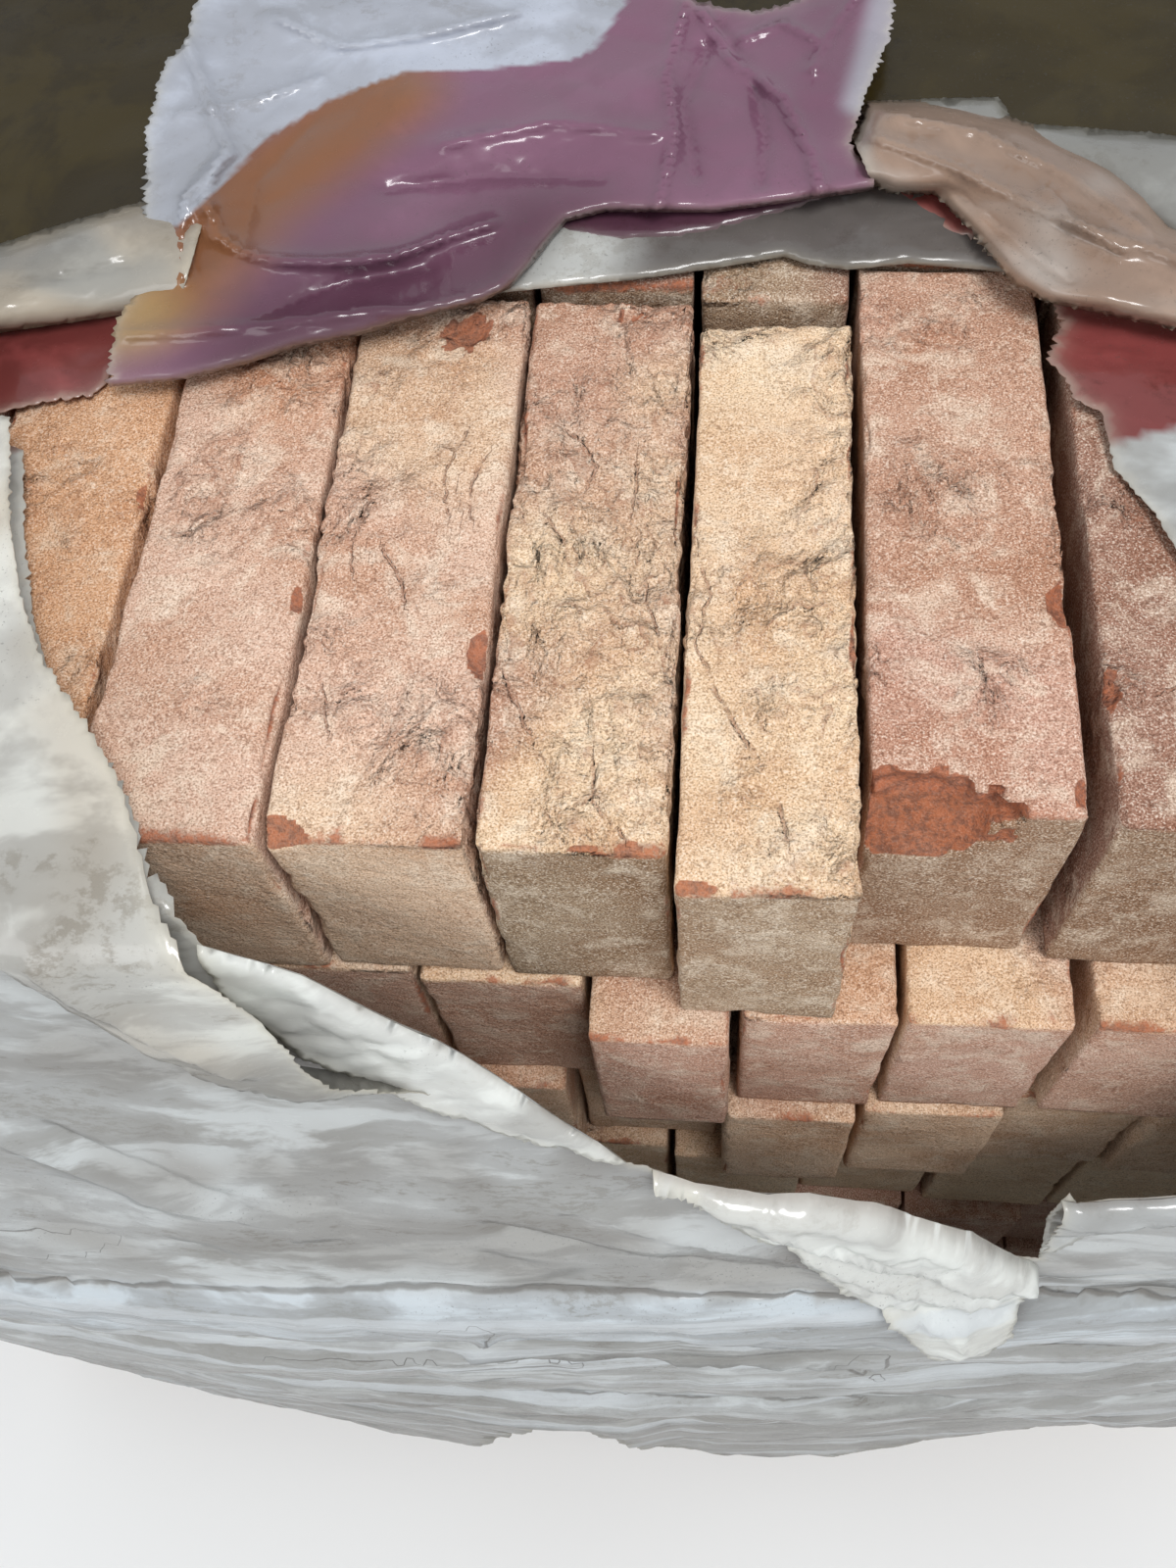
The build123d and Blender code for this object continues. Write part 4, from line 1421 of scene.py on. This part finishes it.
printEdge = [(-170, -200), (-143, -187), (-136, -182), (-128, -169), (-122, -155), (-110, -133),
             (-90, -113), (-61, -96), (-30, -96), (5, -91), (13, -85), (18, -73), (25, -53), (30, 0)]
flapCreases = [
    ([(-127, -175), (-121, -189), (-110, -198), (-99, -202), (-78, -204), (-53, -201), (-32, -190),
      (-18, -184)], 8, 6),
    ([(-124, -144), (-131, -154), (-137, -167), (-135, -189), (-130, -212)], 6, 4),
    ([(-157, -74), (-138, -116), (-127, -140), (-130, -162), (-129, -173)], 6, 5),
    ([(-144, -239), (-119, -238), (-84, -233), (-56, -228), (-32, -227), (-15, -220), (5, -201)], 5, 7),
    ([(49, -54), (46, -79), (43, -103), (48, -138), (43, -176)], 5, 4),
    ([(55, -61), (67, -92), (88, -116), (99, -150), (102, -170)], 6, 4),
    ([(58, -84), (50, -120), (56, -160)], -4, 5),
    ([(62, -70), (76, -104), (82, -140), (80, -165)], -4, 4),
    ([(73, -80), (88, -71), (100, -81)], 4, 4),
    ([(-100, -232), (-70, -214), (-40, -206)], -4, 9),
    ([(-110, -200), (-112, -160), (-96, -128)], -3, 7),
    ([(-40, -140), (0, -128), (40, -136)], 6, 12),
    ([(-60, -165), (-20, -158), (20, -160)], -4, 10),
    ([(100, -100), (110, -70), (118, -55)], 5, 5),
    ([(-120, -60), (-90, -80), (-60, -74), (-20, -60)], 5, 7),
    ([(-150, -120), (-120, -112), (-96, -100)], 3, 5),
]


flapLook = {
    "outline": ((flapFold, 0.4), (flapRight + flapBack + flapLeft, 2.2)), "rolls": ((flapFold, 5),),
    "base": 8, "rise": 7, "waves": ((4, 70, 91), (1.4, 25, 92)),
    "crumples": ((0.9, 34, 271), (0.15, 12, 281)), "creases": flapCreases, "spacing": 2.6, "seed": 29,
}


def onPrint(flat):
    # 1 on the print and 0 on the plain film
    return ease(0.5 * mm, -0.5 * mm, sideOfPath(flat, printEdge))


def flapTone(flat):
    printed = onPrint(flat)[:, None]
    ink = clouded(flat, plain(len(flat), "purple"), "plum", 0.3, -0.3, 0.6, 55, 94)
    ink = mixTone(ink, ease(60 * mm, 14 * mm, distanceToPath(flat, flapEnds["dark"])) * 0.85, "plum")
    ink = mixTone(ink, ease(40 * mm, 8 * mm, distanceToPath(flat, flapEnds["orange"])) * 0.95, "orange")
    corner = np.hypot(flat[:, 0] + 146 * mm, flat[:, 1] + 232 * mm)
    ink = mixTone(ink, ease(34 * mm, 4 * mm, corner) * 0.6, "yellow")
    ink = mixTone(ink, ease(12 * mm, 3 * mm, distanceToPath(flat, flapEnds["margin"])) * 0.7, "blueWhite")
    return plain(len(flat), "blueWhite") * (1 - printed) + ink * printed


looseSheet("film_print_flap", flapLook, flapTone, lambda flat: 0.5 + 0.4 * onPrint(flat))

# The layer under the flap, which shows as a dark edge below its right half: the print, painted dark plum as
# the flap's shade
underFold = [(-6, -200), (8, -190), (30, -195), (59, -192), (89, -181), (100, -175), (118, -169)]
underLook = {
    "outline": ((underFold, 0.3), ([(110, -150), (60, -150), (0, -160)], 0)), "rolls": ((underFold, 6),),
    "base": 3.5, "rise": 4, "crumples": ((0.5, 14, 291),), "flatAtRolls": False, "tone": "plum",
    "spacing": 3.5, "seed": 31,
}
looseSheet("film_flap_under", underLook)

# The band of film that shows below the flap, over the second row, painted in the flap's shade with a painted
# highlight round one spot
bandFront = [(-30, -222), (13, -216), (38, -213), (68, -207), (89, -202), (97, -206), (111, -209),
             (132, -206), (148, -208), (168, -211)]
bandLook = {
    "outline": ((bandFront, 0.3), ([(175, -190), (150, -160), (60, -150), (-20, -165), (-50, -200)], 0)),
    "rolls": ((bandFront, 8),), "base": 3.2, "rise": 2.6, "waves": ((1.2, 30, 96),),
    "crumples": ((0.4, 16, 301),), "flatAtRolls": False, "spacing": 3.2, "seed": 37,
    "restsOn": "brick_layer_8",
}


def bandShadeAndHighlight(flat):
    # painted shade from the flap, lightened to a painted highlight round one spot
    toEnd = np.hypot(flat[:, 0] - 8 * mm, flat[:, 1] + 196 * mm)
    return mixTone(plain(len(flat), "shade"), ease(40 * mm, 12 * mm, toEnd), "milk")


looseSheet("film_under_band", bandLook, bandShadeAndHighlight)

# The bunched film at the right of the opening, with the smooth band behind it and a red corner before it
bunchFront = [(121, -166), (127, -170), (143, -171), (155, -191), (160, -202), (167, -216), (178, -225),
              (197, -231), (219, -238), (300, -258), (380, -264), (452, -250)]
bunchBack = [(456, -244), (380, -232), (300, -214), (262, -200), (224, -188), (218, -172), (206, -155),
             (193, -144), (179, -133), (160, -124), (140, -119), (119, -119), (114, -140)]
bunchLook = {
    "outline": ((bunchFront, 1.4), (bunchBack, 0.6)), "rolls": ((bunchFront, 10), (bunchBack, 12)),
    "base": 5, "rise": 15, "waves": ((2.5, 30, 97),), "crumples": ((0.5, 16, 311),),
    "creases": (
        ([(122, -140), (150, -156), (180, -180), (230, -208), (300, -232)], 6, 9),
        ([(130, -128), (160, -138), (190, -162), (212, -188)], 5, 7),
        ([(182, -170), (190, -186), (206, -200)], 4, 4),
        ([(150, -170), (170, -196), (186, -214)], -4, 7),
    ),
    "tone": "cream", "clouds": ("milk", 0.4, 0.0, 0.6, 18, 98), "spacing": 2.4, "seed": 41, "gather": 1.2,
}
looseSheet("film_bunch_right", bunchLook)
backBandFront = [(150, -135), (179, -150), (200, -170), (224, -200), (300, -225), (450, -238)]
backBandBack = [(456, -222), (400, -190), (300, -150), (231, -140), (179, -133), (173, -131), (169, -118),
                (147, -118), (127, -119), (119, -125)]
backBandLook = {
    "outline": ((backBandFront, 0), (backBandBack, 0.5)), "rolls": ((backBandBack, 16), (backBandFront, 20)),
    "base": 4, "rise": 14, "waves": ((1.5, 40, 99),), "flatAtRolls": False, "tone": "grey",
    "spacing": 4, "seed": 43,
}
looseSheet("film_band_right", backBandLook)
redCorner = [(127, -171), (132, -179), (141, -184), (147, -192), (156, -193)]
redLook = {
    "outline": ((redCorner, 1.6), ([(160, -190), (150, -165), (128, -162)], 0)), "rolls": ((redCorner, 5),),
    "base": 4, "rise": 2, "crumples": ((0.8, 10, 321),), "flatAtRolls": False, "tone": "red",
    "spacing": 2.4, "seed": 47,
}
looseSheet("film_red_corner", redLook)

# The thick pleat that lies across the top at the left of the flap
pleatFront = [(-480, -262), (-300, -252), (-215, -243), (-192, -238), (-171, -234), (-151, -230),
              (-128, -226)]
pleatBack = [(-128, -160), (-154, -169), (-179, -180), (-205, -192), (-300, -205), (-480, -212)]
pleatLook = {
    "outline": ((pleatFront, 0.3), (pleatBack, 0.3)), "rolls": ((pleatFront, 22), (pleatBack, 26)),
    "base": 4, "rise": 16, "waves": ((2.5, 40, 101),), "crumples": ((0.7, 18, 331),),
    "grooves": (([(-300, -222), (-185, -212), (-150, -203)], -3, 3),),
    "tone": "warm", "clouds": ("grey", 0.8, -0.1, 0.5, 26, 102), "spacing": 3.4, "seed": 53,
}
looseSheet("film_pleat_top", pleatLook)
print("film laid")


# Lamps, world and floor
stageLook = {
    "floorTone": 0.82,
    "floorSize": 4.0,
    "worldStrength": 0.62,
    "lamps": {
        "key": ((0.8, -1.3, 3.3), (0, -0.4, 0.8), 0.9, 54),  # place, target, size and power
        "fill": ((-1.7, -2.4, 2.4), (0, -0.4, 0.7), 1.6, 20),
    },
}


def areaLamp(name, place, target, size, power):
    lamp = bpy.data.lights.new(name, "AREA")
    lamp.shape = "RECTANGLE"
    lamp.size = lamp.size_y = size
    lamp.energy = power
    holder = bpy.data.objects.new(name, lamp)
    holder.location = place
    holder.rotation_mode = "QUATERNION"
    holder.rotation_quaternion = (Vector(target) - Vector(place)).to_track_quat("-Z", "Y")
    bpy.context.scene.collection.objects.link(holder)


def buildStage():
    size = stageLook["floorSize"]
    corners = np.array([(-size, -size, 0), (size, -size, 0), (size, size, 0), (-size, size, 0)])
    floor = meshPiece("floor", corners, np.array([[0, 1, 2, 3]]), smooth=False)
    material, tree, shader = newMaterial("floor_paint")
    tone = stageLook["floorTone"]
    feed(tree, shader, {"Base Color": (tone, tone, tone * 0.99, 1), "Roughness": 0.9})
    floor.data.materials.append(material)
    world = bpy.data.worlds.new("studio")
    world.use_nodes = True
    feed(world.node_tree, world.node_tree.nodes["Background"],
         {"Color": (0.93, 0.96, 1.0, 1), "Strength": stageLook["worldStrength"]})
    bpy.context.scene.world = world
    for name, lamp in stageLook["lamps"].items():
        areaLamp(name, *lamp)
    bpy.context.scene.view_settings.view_transform = "Standard"


buildStage()
print("stage built")
